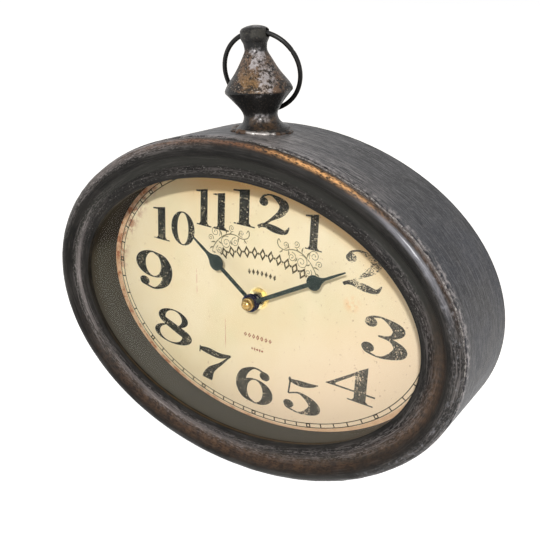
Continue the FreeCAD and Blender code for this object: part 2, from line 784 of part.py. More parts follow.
minute_front = value(f"{DIAL} - minute_hand_lift - hand_sheet - cap_thread - {MOVEMENT}")
minute_back = value("centre_level + wheel_thickness + spring_sheet + collar_thickness")
collar_front = value("centre_level + wheel_thickness + spring_sheet")
minute_radius = value("minute_radius")
wheel("minute_arbor", middle,
      [round_layer(minute_radius, minute_front, minute_back - minute_front),
       pinion_layer(counts["cannon_teeth"], "motion_module", "motion_level", cannon_turn),
       round_layer(minute_radius + 0.9, collar_front, minute_back - collar_front)],
      [round_layer(arbor + fit, minute_back - 1.6, 1.6)])
hour_front = value(f"{DIAL} - hour_hand_lift - hand_sheet * 2 - {MOVEMENT}")
hour_level = value("hour_level")
wheel("hour_wheel", middle,
      [wheel_layer("hour_teeth", hour_module, "hour_level", hour_turn),
       round_layer(value("hour_tube_radius"), hour_front, hour_level + thick - hour_front)],
      [round_layer(minute_radius + fit, hour_front, hour_level + thick - hour_front)])
motion_front = value("hour_level - pinion_margin")
motion_back = value("motion_level + wheel_thickness + pinion_margin")
wheel("motion_wheel", motion_axis,
      [wheel_layer("motion_teeth", "motion_module", "motion_level", motion_turn),
       layer(counts["motion_pinion_teeth"], value(hour_module), motion_front, motion_back - motion_front,
             motion_turn)],
      [round_layer(arbor + fit, motion_front, motion_back - motion_front)])
stem_back = value("housing_depth + knob_gap + knob_height * 0.6")
stem_front = value("housing_wall + running_clearance")
wheel("setting_gear", setting_axis,
      [pinion_layer(counts["setting_teeth"], "motion_module", "motion_level", setting_turn),
       round_layer(value("setting_stem_radius"), stem_front, stem_back - stem_front)])
wheel("centre_wheel", middle, [wheel_layer("centre_teeth", "centre_module", "centre_level", centre_turn)],
      [round_layer(minute_radius + fit, value("centre_level"), thick)])
wheel("third_wheel", third_axis,
      [wheel_layer("third_teeth", third_module, "third_level", third_turn),
       pinion_layer(pinion, "centre_module", "centre_level", third_turn), spindle()])
wheel("second_wheel", middle,
      [wheel_layer("second_teeth", "second_module", "second_level", second_turn),
       pinion_layer(pinion, third_module, "third_level", second_turn), spindle(minute_back - 1.5)])
wheel("intermediate_wheel", intermediate_axis,
      [wheel_layer("intermediate_teeth", "intermediate_module", "intermediate_level", intermediate_turn),
       pinion_layer(pinion, "second_module", "second_level", intermediate_turn), spindle()])
magnet_front = value("stator_level + (stator_sheet - magnet_height) / 2")
wheel("rotor", rotor_axis,
      [pinion_layer(pinion, "intermediate_module", "intermediate_level", rotor_turn), spindle()])
magnet = axis_rod(rotor_axis, "magnet_radius", str(magnet_front), "magnet_height")
piece(cut(magnet, axis_rod(rotor_axis, "arbor_radius + fixed_clearance", str(magnet_front), "magnet_height")),
      "rotor_magnet")

# Slip spring between the centre wheel and the minute arbor's collar
spring_front = "centre_level + wheel_thickness"
leaf = [axis_rod(middle, "minute_radius + 1.4", spring_front, "spring_sheet")]
for arm in range(3):
    strip = box("-0.9", f"{MOVEMENT} + {spring_front}", f"{AXIS}", "1.8", "spring_sheet", "spring_radius")
    place(strip, f"-0.9 * cos({arm * 120})", f"{MOVEMENT} + {spring_front}", f"{AXIS} + 0.9 * sin({arm * 120})",
          f"rotationy({arm * 120})")
    leaf.append(strip)
piece(cut(fuse(*leaf), axis_rod(middle, "minute_radius + running_clearance", spring_front, "spring_sheet")),
      "slip_spring")

# Setting knob with flats round its rim
knob_front = "housing_depth + knob_gap"
grip = doc.addObject("Part::Prism", "grip")
bind(grip, Polygon="knob_sides", Circumradius="knob_radius", Height="knob_height")
place(grip, str(setting_axis[0]), f"{MOVEMENT} + {knob_front}", f"{AXIS} + {setting_axis[1]}", "rotationx(-90)")
stem_hole = axis_rod(setting_axis, "setting_stem_radius + fixed_clearance", knob_front, "knob_height * 0.6")
piece(cut(grip, stem_hole), "setting_knob")

# Motor: a C-shaped lamination round the rotor, closed by the core through the coil
STATOR = f"({MOVEMENT} + stator_level)"
rotor_x, rotor_z = str(rotor_axis[0]), str(rotor_axis[1])
arm_right = f"{CORE_PLACE} + core_width / 2"
arm_left = f"{rotor_x} - stator_width / 2"
stator = cut(fuse(
    box(arm_left, STATOR, f"{AXIS} - stator_bottom", "stator_width", "stator_sheet", "stator_top + stator_bottom"),
    box(arm_left, STATOR, f"{AXIS} - stator_bottom", f"{arm_right} - ({arm_left})", "stator_sheet", "stator_arm"),
    box(arm_left, STATOR, f"{AXIS} + stator_top - stator_arm", f"{arm_right} - ({arm_left})", "stator_sheet",
        "stator_arm")),
    rod("magnet_radius + stator_gap", rotor_x, rotor_z, STATOR, "stator_sheet"))
piece(stator, "stator")
core_front = f"({STATOR} + stator_sheet)"
core = box(f"{CORE_PLACE} - core_width / 2", core_front, f"{AXIS} - stator_bottom", "core_width", "stator_sheet",
           "stator_top + stator_bottom")
piece(core, "coil_core")


coil_low = "(stator_arm + 0.6 - stator_bottom)"
coil_length = "(stator_top + stator_bottom - stator_arm * 2 - 1.2)"
winding_low = f"({coil_low} + bobbin_flange)"
winding_length = f"({coil_length} - bobbin_flange * 2)"


def coil_block(width, depth, low, length):
    """A square block about the coil's axis."""
    return box(f"{CORE_PLACE} - ({width}) / 2", f"{core_front} + (stator_sheet - ({depth})) / 2", f"{AXIS} + {low}",
               width, depth, length)


TUBE = ("core_width + 1.2", "stator_sheet + 1.2")
bobbin = cut(fuse(coil_block(*TUBE, coil_low, coil_length),
                  coil_block("bobbin_width", "bobbin_width", coil_low, "bobbin_flange"),
                  coil_block("bobbin_width", "bobbin_width", f"{coil_low} + {coil_length} - bobbin_flange",
                             "bobbin_flange")),
             coil_block("core_width + fixed_clearance", "stator_sheet + fixed_clearance", coil_low, coil_length))
piece(bobbin, "coil_bobbin")
turns = doc.addObject("Part::Cylinder", "turns")
bind(turns, Radius="winding_radius", Height=winding_length)
place(turns, CORE_PLACE, f"{core_front} + stator_sheet / 2", f"{AXIS} + {winding_low}")
piece(cut(turns, coil_block(f"{TUBE[0]} + fixed_clearance", f"{TUBE[1]} + fixed_clearance", winding_low,
                            winding_length)), "coil_winding")

# Circuit board with its chip and crystal
circuit_front = f"({MOVEMENT} + circuit_level)"
circuit_left = "circuit_place - circuit_width / 2"
circuit_low = f"{AXIS} + circuit_rise - circuit_height / 2"
piece(fuse(box(circuit_left, circuit_front, circuit_low, "circuit_width", "circuit_sheet", "circuit_height"),
           box("circuit_place", f"{circuit_front} - 0.8", f"{AXIS} + circuit_rise - 2", "4", "0.8", "4")),
      "circuit_board")
can = doc.addObject("Part::Cylinder", "can")
bind(can, Radius="crystal_radius", Height="crystal_length")
place(can, f"{circuit_left} + 1.5", f"{circuit_front} - crystal_radius - fixed_clearance", f"{AXIS} + circuit_rise",
      "rotationy(90)")
piece(can, "crystal")

# Cell and its two contacts
CELL_RISE = "((divider_height + divider_wall + housing_bottom - housing_wall) / -2)"
CELL_DEPTH = f"({MOVEMENT} + housing_wall + cell_clearance + cell_radius)"


def lying_rod(radius, left, length):
    """A rod along X about the cell's axis."""
    bar = doc.addObject("Part::Cylinder", "rod")
    bind(bar, Radius=radius, Height=length)
    return place(bar, left, CELL_DEPTH, f"{AXIS} + {CELL_RISE}", "rotationy(90)")


cell_left = f"-{CELL_END}"
piece(fuse(lying_rod("cell_radius", cell_left, "cell_length"),
           lying_rod("cell_nub_radius", cell_left, "cell_length + cell_nub_length")), "cell")
for label, sign in (("contact_negative", -1), ("contact_positive", 1)):
    leaf = f"{sign} * {HOUSING_INNER} - contact_sheet * {max(sign, 0)}"
    bump = f"{sign} * ({HOUSING_INNER} - contact_sheet) - contact_spring * {max(sign, 0)}"
    piece(fuse(box(leaf, f"{CELL_DEPTH} - contact_width / 2", f"{AXIS} + {CELL_RISE} - contact_width / 2",
                   "contact_sheet", "contact_width", "contact_width"),
               box(bump, f"{CELL_DEPTH} - contact_width / 4", f"{AXIS} + {CELL_RISE} - contact_width / 4",
                   "contact_spring", "contact_width / 2", "contact_width / 2")), label)


# Hands: stamped spades on riveted collars
def spade(label, lift, prefix, hole, collar):
    """A spade hand drawn upright and turned to its place on the dial; collar is the collar's length."""
    blade = body(label + "_blade")
    bar = f"{prefix}_bar_width / 2"
    width = f"{prefix}_bulb_width"
    bulb = f"{width} / 2"
    mid = f"{prefix}_bulb_place"
    right = [
        (bar, "0"),
        (bar, f"{mid} - {width} * 0.48", f"{bulb} * 0.86", f"{mid} - {width} * 0.26"),
        (bulb, mid, f"{bulb} * 0.93", f"{mid} + {width} * 0.18"),
        (f"{bulb} * 0.76", f"{mid} + {width} * 0.32", f"{bulb} * 0.34", f"{mid} + {width} * 0.62"),
        ("tip_width", f"{mid} + {width} * 1.15"),
        ("tip_width / 2", f"{prefix}_reach"),
    ]
    left = [(f"-({x})", z) for x, z, *_ in reversed(right)]
    for step, corner in enumerate(right):
        if len(corner) == 4:
            mirror = len(right) - 2 - step
            left[mirror] += (f"-({corner[2]})", corner[3])
    pad(blade, upright(blade, label + "_outline", "0", right + left), "hand_sheet")
    front = f"({DIAL} - {lift} - hand_sheet)"
    place(blade, "0", front, AXIS, f"rotationy({prefix}_angle)")
    return cut(fuse(blade, rod("hub_radius", "0", "0", front, "hand_sheet"),
                    rod("collar_radius", "0", "0", f"{front} + hand_sheet", collar)),
               rod(f"{hole} + fixed_clearance", "0", "0", front, f"hand_sheet + {collar}"))


piece(spade("hour_hand", "hour_hand_lift", "hour", "hour_tube_radius", "1.6"), "hour_hand")
piece(spade("minute_hand", "minute_hand_lift", "minute", "minute_radius", "0.8"), "minute_hand")

# Domed nut that holds the minute hand
dome = body("dome")
dome_section = [
    ("0", "0"), ("cap_radius", "0"), ("cap_radius", "1.2"), ("cap_radius - 0.5", "1.6"),
    ("cap_radius - 0.5", "cap_height * 0.5"), ("cap_radius * 0.68", "cap_height * 0.8"),
    ("cap_radius * 0.32", "cap_height * 0.97"), ("0", "cap_height"),
]
turned(dome, "dome_section", "XZ_Plane", dome_section, "V_Axis")
CAP = f"({DIAL} - minute_hand_lift - hand_sheet)"
place(dome, "0", CAP, AXIS, "rotationx(90)")
piece(cut(dome, rod("minute_radius + fixed_clearance", "0", "0", f"{CAP} - cap_thread - 0.2", "cap_thread + 0.2")),
      "cap_nut")

doc.recompute()
broken = [item.Label for item in doc.Objects if {"Invalid", "Error"} & set(item.State)]
broken += [item.Label for item in PIECES if item.Shape.isNull() or not item.Shape.isValid()]
if broken:
    raise RuntimeError("not built: " + ", ".join(broken))
os.makedirs("parts", exist_ok=True)
for item in PIECES:
    item.Shape.exportStep(f"parts/{item.Label}.step")
print(len(PIECES), "pieces")
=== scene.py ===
import math
import bmesh
import bpy
from mathutils import Matrix, Vector, noise
from mathutils.geometry import delaunay_2d_cdt


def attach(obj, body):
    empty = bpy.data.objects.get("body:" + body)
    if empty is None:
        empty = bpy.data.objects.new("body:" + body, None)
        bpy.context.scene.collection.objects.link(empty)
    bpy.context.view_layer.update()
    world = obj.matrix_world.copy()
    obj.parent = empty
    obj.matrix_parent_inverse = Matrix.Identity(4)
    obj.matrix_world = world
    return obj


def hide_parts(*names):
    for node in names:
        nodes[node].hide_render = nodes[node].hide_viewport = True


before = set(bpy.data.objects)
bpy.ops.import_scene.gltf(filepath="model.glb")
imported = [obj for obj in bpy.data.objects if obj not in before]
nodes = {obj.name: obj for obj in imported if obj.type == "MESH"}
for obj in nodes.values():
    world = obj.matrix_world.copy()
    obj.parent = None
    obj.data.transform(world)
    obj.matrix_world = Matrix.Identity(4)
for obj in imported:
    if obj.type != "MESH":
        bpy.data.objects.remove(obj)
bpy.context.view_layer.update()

# Case band: sheet steel rolled into an oval and welded, painted charcoal and rubbed back by hand.
# The rubbing runs along the sheet, in short fine streaks; the front edge is worn to bare metal.
# Painted light on the band: a sheen round its top near the finial, and shade that darkens its right side.
CASE_AXIS = 0.110
CASE_HALF = (0.150, 0.109)


def tint(red, green, blue):
    """A colour given as it looks on a screen, 0 to 255, as the linear colour of a shader socket."""
    linear = [(c / 255 / 12.92) if c <= 10 else ((c / 255 + 0.055) / 1.055) ** 2.4 for c in (red, green, blue)]
    return (*linear, 1.0)


class Field:
    """A value that nodes work out point by point; sums and products of fields are nodes again."""

    def __init__(self, socket):
        self.socket, self.tree = socket, socket.id_data

    def __add__(self, other):
        return calc("ADD", self, other)

    def __sub__(self, other):
        return calc("SUBTRACT", self, other)

    def __mul__(self, other):
        return calc("MULTIPLY", self, other)

    def __truediv__(self, other):
        return calc("DIVIDE", self, other)


def join(setting, socket):
    """Links a field or another node's socket to a socket, or sets a plain value on it."""
    setting = getattr(setting, "socket", setting)
    if isinstance(setting, bpy.types.NodeSocket):
        socket.id_data.links.new(setting, socket)
    else:
        socket.default_value = setting


def add(tree, kind, props=None, **sockets):
    """A node with its properties, and each named or numbered input set or linked."""
    made = tree.nodes.new(kind)
    for name, setting in (props or {}).items():
        setattr(made, name, setting)
    for name, setting in sockets.items():
        join(setting, made.inputs[int(name[1:]) if name[1:].isdigit() else name.replace("_", " ")])
    return made


def calc(operation, *values):
    """One step of arithmetic with fields and plain numbers."""
    tree = next(value.tree for value in values if isinstance(value, Field))
    inputs = {f"i{place}": value for place, value in enumerate(values)}
    return Field(add(tree, "ShaderNodeMath", {"operation": operation}, **inputs).outputs[0])


def most(value, *others):
    """The largest of some values, the first of them a field."""
    for other in others:
        value = calc("MAXIMUM", value, other)
    return value


def span(value, low, high, to_low=0.0, to_high=1.0):
    """The value eased from one range into another."""
    made = add(value.tree, "ShaderNodeMapRange", {"interpolation_type": "SMOOTHSTEP"}, Value=value, From_Min=low,
               From_Max=high, To_Min=to_low, To_Max=to_high)
    return Field(made.outputs["Result"])


def window(value, low, high, soft):
    """One between two limits, easing off to nothing outside them."""
    return span(value, low - soft, low) * span(value, high, high + soft, 1.0, 0.0)


def blend(share, under, over):
    """Two colours mixed by a share."""
    made = add(share.tree, "ShaderNodeMix", {"data_type": "RGBA", "clamp_factor": True}, i0=share, i6=under, i7=over)
    return Field(made.outputs[2])


def grain(place, scale, detail=4.0, rough=0.55, distortion=0.0):
    """Even noise, its scale in lumps to the metre."""
    made = add(place.tree, "ShaderNodeTexNoise", Vector=place, Scale=scale, Detail=detail, Roughness=rough,
               Distortion=distortion)
    return Field(made.outputs["Fac"])


def group(name, inputs, outputs, kind="ShaderNodeTree"):
    """A node group: its named inputs as fields to work with, and the sockets of its outputs."""
    tree = bpy.data.node_groups.new(name, kind)
    for way, sockets in (("INPUT", inputs), ("OUTPUT", outputs)):
        for label, sort in sockets.items():
            tree.interface.new_socket(label, in_out=way, socket_type="NodeSocket" + sort)
    given = {socket.name: Field(socket) for socket in tree.nodes.new("NodeGroupInput").outputs if socket.name}
    return tree, given, tree.nodes.new("NodeGroupOutput").inputs


def use(effect, **sockets):
    """The outputs of a shared effect at a place."""
    made = add(sockets["Place"].tree, "ShaderNodeGroup", {"node_tree": effect}, **sockets)
    return {socket.name: Field(socket) for socket in made.outputs}


def finish(name, **sockets):
    """A material with one Principled shader, whose even values are set on its own sockets."""
    material = bpy.data.materials.new(name)
    material.use_nodes = True
    shader = material.node_tree.nodes["Principled BSDF"]
    feed(shader, **sockets)
    return material, shader


def feed(shader, **sockets):
    """Sets or links the named sockets of a shader."""
    for label, setting in sockets.items():
        join(setting, shader.inputs[label.replace("_", " ")])


def relief(shader, height, depth):
    """Surface relief, its depth in metres."""
    bump = add(shader.id_data, "ShaderNodeBump", Height=height, Distance=depth, Strength=1.0)
    join(bump.outputs["Normal"], shader.inputs["Normal"])


def dress(material, *names):
    """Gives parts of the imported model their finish."""
    for name in names:
        mesh = nodes[name].data
        mesh.materials.clear()
        mesh.materials.append(material)


def parts_of(place):
    """How far a place lies to the right, to the back and up."""
    return [Field(socket) for socket in add(place.tree, "ShaderNodeSeparateXYZ", Vector=place).outputs]


def place_of(shader):
    """Where a point of the surface lies, in metres, whole and as three values."""
    spot = Field(add(shader.id_data, "ShaderNodeTexCoord").outputs["Object"])
    return spot, *parts_of(spot)


# marks rubbed along the metal: long one way, fine the other way
rubbing, given, made = group("rubbed_marks", {"Place": "Vector", "Across": "Float", "Long": "Float", "Fine": "Float",
                                              "From": "Float", "To": "Float"}, {"Marks": "Float", "Tone": "Float"})
x, y, z = parts_of(given["Place"])
drawn = add(rubbing, "ShaderNodeCombineXYZ", X=x * given["Long"], Y=z * given["Long"],
            Z=given["Across"] * given["Fine"]).outputs[0]
streak = grain(Field(drawn), 1.0, 5.0, 0.65)
join(span(streak, given["From"], given["To"]), made["Marks"])
join(streak, made["Tone"])

band_paint, shader = finish("band_paint", IOR=1.45, Specular_IOR_Level=0.3)
spot, x, y, z = place_of(shader)
fine = use(rubbing, Place=spot, Across=y, Long=95.0, Fine=1500.0, From=0.50, To=0.70)
broad = use(rubbing, Place=spot, Across=y, Long=30.0, Fine=330.0, From=0.48, To=0.70)
cloud = grain(spot, 30.0, 5.0, 0.6)
colour = blend(span(cloud, 0.35, 0.65), tint(42, 42, 44), tint(62, 62, 65))
# Painted shade: the right side of the band is darkened to a bluish grey.
blue = span(x, 0.08, 0.14) * span(grain(spot, 22.0, 3.0), 0.4, 0.6)
colour = blend(blue * 0.6, colour, tint(42, 46, 58))
colour = blend(broad["Marks"] * 0.5, colour, tint(86, 86, 91))
colour = blend(fine["Marks"] * 0.5, colour, tint(112, 111, 115))
mottle = span(grain(spot, 420.0, 5.0, 0.7), 0.48, 0.64)
colour = blend(mottle * 0.4, colour, tint(104, 102, 104))
dark_marks = span(fine["Tone"], 0.46, 0.34)
colour = blend(dark_marks * 0.6, colour, tint(30, 30, 32))
edge = span(y, -0.0268, -0.0225, 1.0, 0.0)
edge_wear = edge * span(grain(spot, 240.0, 5.0, 0.7), 0.46, 0.60)
# Painted sheen: silvery patches on the front shoulder right of the finial and along the crown, mixed with the real wear
# of the front edge.
shoulder = window(x, 0.012, 0.075, 0.03) * span(y, 0.002, -0.022)
shoulder = shoulder * span(z, 0.17, 0.19) * span(fine["Tone"], 0.44, 0.62)
crown_sheen = span(z, 0.195, 0.215) * span(fine["Tone"], 0.46, 0.66)
silver = most(edge_wear, shoulder * 0.8, crown_sheen * 0.3)
# Painted sheen: a soft pale patch on the band round the finial's foot.
sheen_grain = broad["Tone"] * 0.5 + grain(spot, 300.0, 5.0, 0.7) * 0.5
finial_sheen = window(x, 0.012, 0.016, 0.034) * span(y, 0.03, -0.02) * span(sheen_grain, 0.40, 0.60) * span(z, 0.18, 0.212)
colour = blend(finial_sheen * 0.85, colour, tint(160, 154, 152))
colour = blend(silver * 0.8, colour, tint(164, 158, 158))
rear_edge = span(y, 0.0325, 0.0348)
colour = blend(rear_edge * 0.7, colour, tint(28, 28, 28))
feed(shader, Base_Color=colour, Roughness=span(fine["Tone"], 0.3, 0.7, 0.56, 0.38), Metallic=silver * 0.7)
relief(shader, cloud * 2.0 + fine["Tone"], 0.00014)
dress(band_paint, "case_band")

# Bezel: one ring pressed from sheet steel with a bead, a cove, a ridge and a turned-in lip.
# Its skirt is pushed into the band, which crinkled the seam; the crests are rubbed to copper and bare steel, and
# highlights on the bead's crest and on the lumps at the right are painted in.
SEAM, FACE_LENGTH = -0.029, 0.032
CRUSHED_SHARE, FACE_TOP = 0.2, 5.98


def softened(points, steps):
    """A smooth run through points, with a few steps between each two."""
    if len(points) == 2:
        return list(points)
    run = []
    padded = [points[0], *points, points[-1]]
    for before, start, end, after in zip(padded, padded[1:], padded[2:], padded[3:]):
        for step in range(steps):
            t = step / steps
            run.append(tuple(0.5 * (2 * b + (c - a) * t + (2 * a - 5 * b + 4 * c - d) * t * t
                                    + (3 * b - a - 3 * c + d) * t ** 3)
                             for a, b, c, d in zip(before, start, end, after)))
    return run + [points[-1]]


def joined(runs, steps=5):
    """Smooth runs joined at their corners into one line."""
    line = []
    for run in runs:
        line += softened(run, steps)[:-1]
    return line + [runs[-1][-1]]


def oval(turn, inset, half=CASE_HALF):
    """A point inside an oval by an inset, seen from the front."""
    out = Vector((half[1] * math.cos(turn), half[0] * math.sin(turn))).normalized()
    return half[0] * math.cos(turn) - inset * out.x, half[1] * math.sin(turn) - inset * out.y


def piece(name, mesh, material, body="case", instead_of=(), crease=35):
    """A finished mesh as one piece of the clock, on its body."""
    mesh.materials.clear()
    mesh.materials.append(material)
    mesh.shade_smooth()
    mesh.set_sharp_from_angle(angle=math.radians(crease))
    made = bpy.data.objects.new(name, mesh)
    bpy.context.scene.collection.objects.link(made)
    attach(made, body)
    if instead_of:
        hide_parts(*instead_of)
    return made


def closed(name, points, faces, marks=None):
    """A mesh with its doubles merged and its faces turned outwards; marks are values kept for each point."""
    mesh = bpy.data.meshes.new(name)
    mesh.from_pydata([tuple(p) for p in points], [], faces)
    for label, values in (marks or {}).items():
        mesh.attributes.new(label, "FLOAT", "POINT").data.foreach_set("value", values)
    shape = bmesh.new()
    shape.from_mesh(mesh)
    bmesh.ops.remove_doubles(shape, verts=shape.verts, dist=1e-7)
    bmesh.ops.recalc_face_normals(shape, faces=shape.faces)
    shape.to_mesh(mesh)
    shape.free()
    return mesh


def ring_faces(rings, around, close_rings=True):
    """Four-sided faces between rings of points."""
    last = rings if close_rings else rings - 1
    return [(r * around + a, r * around + (a + 1) % around, (r + 1) % rings * around + (a + 1) % around,
             (r + 1) % rings * around + a) for r in range(last) for a in range(around)]


def bump_at(value, middle, half):
    """One at the middle of a range and nothing outside it."""
    return max(0.0, 1.0 - ((value - middle) / half) ** 2) ** 2


def arc_at(degrees, middle, half):
    """The same for a stretch of the way round: 0 is the right, 90 the top."""
    return bump_at((degrees - middle + 180) % 360, 180, half)


BEZEL_FACE = [(0.3, 0.2), (0.55, 2.1), (1.53, 4.08), (3.54, 5.64), (5.9, 6.0), (8.97, 4.92), (11.8, 2.7),
              (13.6, 1.55), (15.6, 1.2), (17.3, 1.8), (18.7, 2.95), (20.2, 3.4), (22.4, 2.9), (25.0, 2.0)]
BEZEL_BACK = [(25, 0.4), (25, -1.2), (23.9, -1.2), (23.9, 0.9), (15.16, 0.1), (6.34, 4.9), (2.5, 2.7), (2.5, -8),
              (1.4, -8)]
face_line = joined([[(1.4, -8.0), (1.4, -0.4)], [(1.4, -0.4), (0.3, 0.2)], BEZEL_FACE])
section = face_line + BEZEL_BACK
lengths = [0.0]
for start, end in zip(section, section[1:]):
    lengths.append(lengths[-1] + math.dist(start, end))
face_start, face_end = lengths[2], lengths[len(face_line) - 1]
AROUND = 480
points = []
marks = {"across": [], "copper": [], "brown": [], "silver": [], "burnished": []}
for (inset, height), along in zip(section, lengths):
    share = (along - face_start) / (face_end - face_start)
    facing = 0 <= share <= 1
    for step in range(AROUND):
        turn = 2 * math.pi * step / AROUND
        degrees = 360 * step / AROUND
        x, z = oval(turn, 0)
        sunk = crushed = 0.0
        if 0 < share < 1:
            sunk = abs(noise.noise(Vector((x * 55, z * 55, inset * 0.3)))) * 0.22
        if 0 <= share < CRUSHED_SHARE:
            fine = noise.noise(Vector((x * 380, z * 380, share * 25)))
            ripple = noise.noise(Vector((x * 150, z * 150, share * 9))) + 0.6 * fine
            crushed = (0.35 + 0.5 * ripple) * (1 - share / CRUSHED_SHARE)
        if 0 < share < 0.42:
            battered = bump_at(share, 0.2, 0.22) * arc_at(degrees, -12, 62)
            sunk += battered * abs(noise.noise(Vector((x * 170, z * 170, inset * 0.5)))) * 1.3
        x, z = oval(turn, (inset + max(crushed, 0.0)) / 1000)
        points.append((x, SEAM - min(height - sunk, FACE_TOP) / 1000, CASE_AXIS + z))
        marks["across"].append(share)
        marks["copper"].append(facing * math.exp(-((share - 0.165) / 0.044) ** 2)
                               * (arc_at(degrees, 70, 28) + 0.45 * arc_at(degrees, 100, 22)))
        marks["brown"].append(facing * max(0.8 * bump_at(share, 0.10, 0.09) * arc_at(degrees, 38, 32),
                                           bump_at(share, 0.52, 0.24) * arc_at(degrees, 268, 82),
                                           bump_at(share, 0.62, 0.24) * arc_at(degrees, -20, 50),
                                           0.8 * bump_at(share, 0.16, 0.16) * arc_at(degrees, 116, 40)))
        marks["silver"].append(facing * max(math.exp(-(share / 0.045) ** 2) * (0.45 + 0.55 * arc_at(degrees, 40, 110)),
                                            bump_at(share, 0.67, 0.22) * arc_at(degrees, 184, 58),
                                            0.9 * bump_at(share, 0.05, 0.09) * arc_at(degrees, 34, 44),
                                            bump_at(share, 0.72, 0.24) * arc_at(degrees, 245, 75),
                                            0.6 * bump_at(share, 0.75, 0.22) * arc_at(degrees, 310, 70),
                                            bump_at(share, 0.09, 0.14) * arc_at(degrees, 125, 46),
                                            0.25 * bump_at(share, 0.83, 0.12) * arc_at(degrees, 90, 50),
                                            0.75 * bump_at(share, 0.24, 0.16) * arc_at(degrees, 132, 44),
                                            0.35 * bump_at(share, 0.2, 0.2) * arc_at(degrees, 0, 60),
                                            0.35 * bump_at(share, 0.8, 0.14) * arc_at(degrees, 20, 40)))
        marks["burnished"].append(facing * bump_at(share, 0.22, 0.08) * arc_at(degrees, 36, 26))
bezel_mesh = closed("bezel_ring", points, ring_faces(len(section), AROUND), marks)

bezel_paint, shader = finish("bezel_paint", IOR=1.45, Specular_IOR_Level=0.14, Coat_Roughness=0.24)
spot, x, y, z = place_of(shader)
way, copper_mark, brown_mark, silver_mark, crest_highlight_mark = (
    Field(add(spot.tree, "ShaderNodeAttribute", {"attribute_name": label}).outputs["Fac"]) for label in marks)
width = way * FACE_LENGTH
long_marks = use(rubbing, Place=spot, Across=width, Long=60.0, Fine=900.0, From=0.48, To=0.66)
short_marks = use(rubbing, Place=spot, Across=width, Long=420.0, Fine=1200.0, From=0.49, To=0.63)
cloud = grain(spot, 40.0, 5.0, 0.6)
colour = blend(span(cloud, 0.35, 0.65), tint(17, 16, 15), tint(35, 33, 31))
cove = window(way, 0.56, 0.70, 0.08)
colour = blend(cove * 0.8, colour, tint(48, 48, 45))
colour = blend(long_marks["Marks"] * 0.3, colour, tint(72, 68, 66))
brown = brown_mark * span(short_marks["Tone"], 0.30, 0.56, 0.2, 1.0)
primer = blend(span(grain(spot, 260.0, 4.0), 0.28, 0.72), tint(60, 48, 41), tint(97, 74, 57))
colour = blend(brown * 0.9, colour, primer)
copper = copper_mark * 1.25 * span(short_marks["Tone"], 0.36, 0.58)
bright = blend(span(x, 0.004, 0.05), tint(138, 92, 60), tint(216, 162, 106))
colour = blend(copper, colour, bright)
rubbed = most(long_marks["Marks"], short_marks["Marks"])
haze = span(silver_mark, 0.35, 1.0) * 0.62
silver = silver_mark * most(rubbed, haze)
colour = blend(silver * 0.85, colour, tint(162, 154, 153))
flecks = span(grain(spot, 780.0, 4.0, 0.65), 0.59, 0.66)
flecked = window(way, 0.76, 0.88, 0.08) * span(z, 0.11, 0.16, 0.0, 0.5)
colour = blend(flecks * flecked, colour, tint(150, 146, 142))
crushed_edge = window(way, -0.02, 0.035, 0.03) * span(grain(spot, 640.0, 4.0, 0.7), 0.46, 0.58)
colour = blend(crushed_edge * span(x, -0.12, 0.02, 0.15, 0.75), colour, tint(204, 200, 196))
dented = grain(spot, 330.0, 5.0, 0.65)
# Crests of the crinkled lumps at the right: partly rubbed bare steel, partly painted glints where the light catches
# them.
crests = window(way, 0.04, 0.26, 0.06) * span(x, 0.07, 0.13, 0.0, 0.4)
colour = blend(crests * span(dented, 0.54, 0.66), colour, tint(136, 136, 142))
# Painted highlight: a pale bluish streak along the bead's crest at the upper right.
burnished = crest_highlight_mark * span(long_marks["Tone"], 0.35, 0.6, 0.4, 0.8)
colour = blend(burnished, colour, tint(150, 150, 158))
thin = window(way, 1.045, 1.06, 0.02) * span(z, 0.08, 0.03)
colour = blend(thin * 0.6, colour, tint(96, 76, 50))
bare = most(silver * 0.6, copper * 0.55)
polish = window(way, 0.14, 0.26, 0.10) * span(cloud, 0.3, 0.6, 0.1, 0.4)
feed(shader, Base_Color=colour, Metallic=bare, Coat_Weight=polish,
     Roughness=span(long_marks["Tone"], 0.3, 0.7, 0.56, 0.38))
crinkle = span(way, 0.3, 0.02) * dented
rough = cloud * 1.4 + short_marks["Tone"] * 0.8
relief(shader, crinkle * 4.0 + rough, 0.00025)
piece("bezel_ring", bezel_mesh, bezel_paint, instead_of=["bezel"])

# Glass: a flat oval pane held against the back of the bezel's lip.
# Clear glass with a coating, so that it mirrors only faintly and lets the lamps shine onto the dial.
pane_glass, shader = finish("pane_glass", Base_Color=(1, 1, 1, 1), Roughness=0.0, IOR=1.1, Transmission_Weight=1.0)
tree = pane_glass.node_tree
through = add(tree, "ShaderNodeBsdfTransparent")
rays = add(tree, "ShaderNodeLightPath").outputs
lit = most(Field(rays["Is Shadow Ray"]), Field(rays["Is Diffuse Ray"]))
passing = add(tree, "ShaderNodeMixShader", Fac=lit, i1=shader.outputs[0], i2=through.outputs[0])
join(passing.outputs[0], tree.nodes["Material Output"].inputs["Surface"])
dress(pane_glass, "glass")

# Dial surround: a strip of thin sheet bent into an oval between the glass and the dial.
# Sprayed a flat grey-olive, browner and dustier towards the glass, lighter and greyer towards the bottom; the bezel's
# shadow across the top is painted in.
surround_paint, shader = finish("surround_paint", IOR=1.45, Specular_IOR_Level=0.2)
spot, x, y, z = place_of(shader)
cloud = grain(spot, 26.0, 4.0, 0.55)
colour = blend(span(cloud, 0.35, 0.65), tint(62, 61, 54), tint(76, 75, 67))
colour = blend(span(y, -0.016, -0.0255, 0.0, 0.55), colour, tint(62, 54, 45))
colour = blend(span(z, 0.12, 0.04, 0.0, 0.8), colour, tint(88, 87, 83))
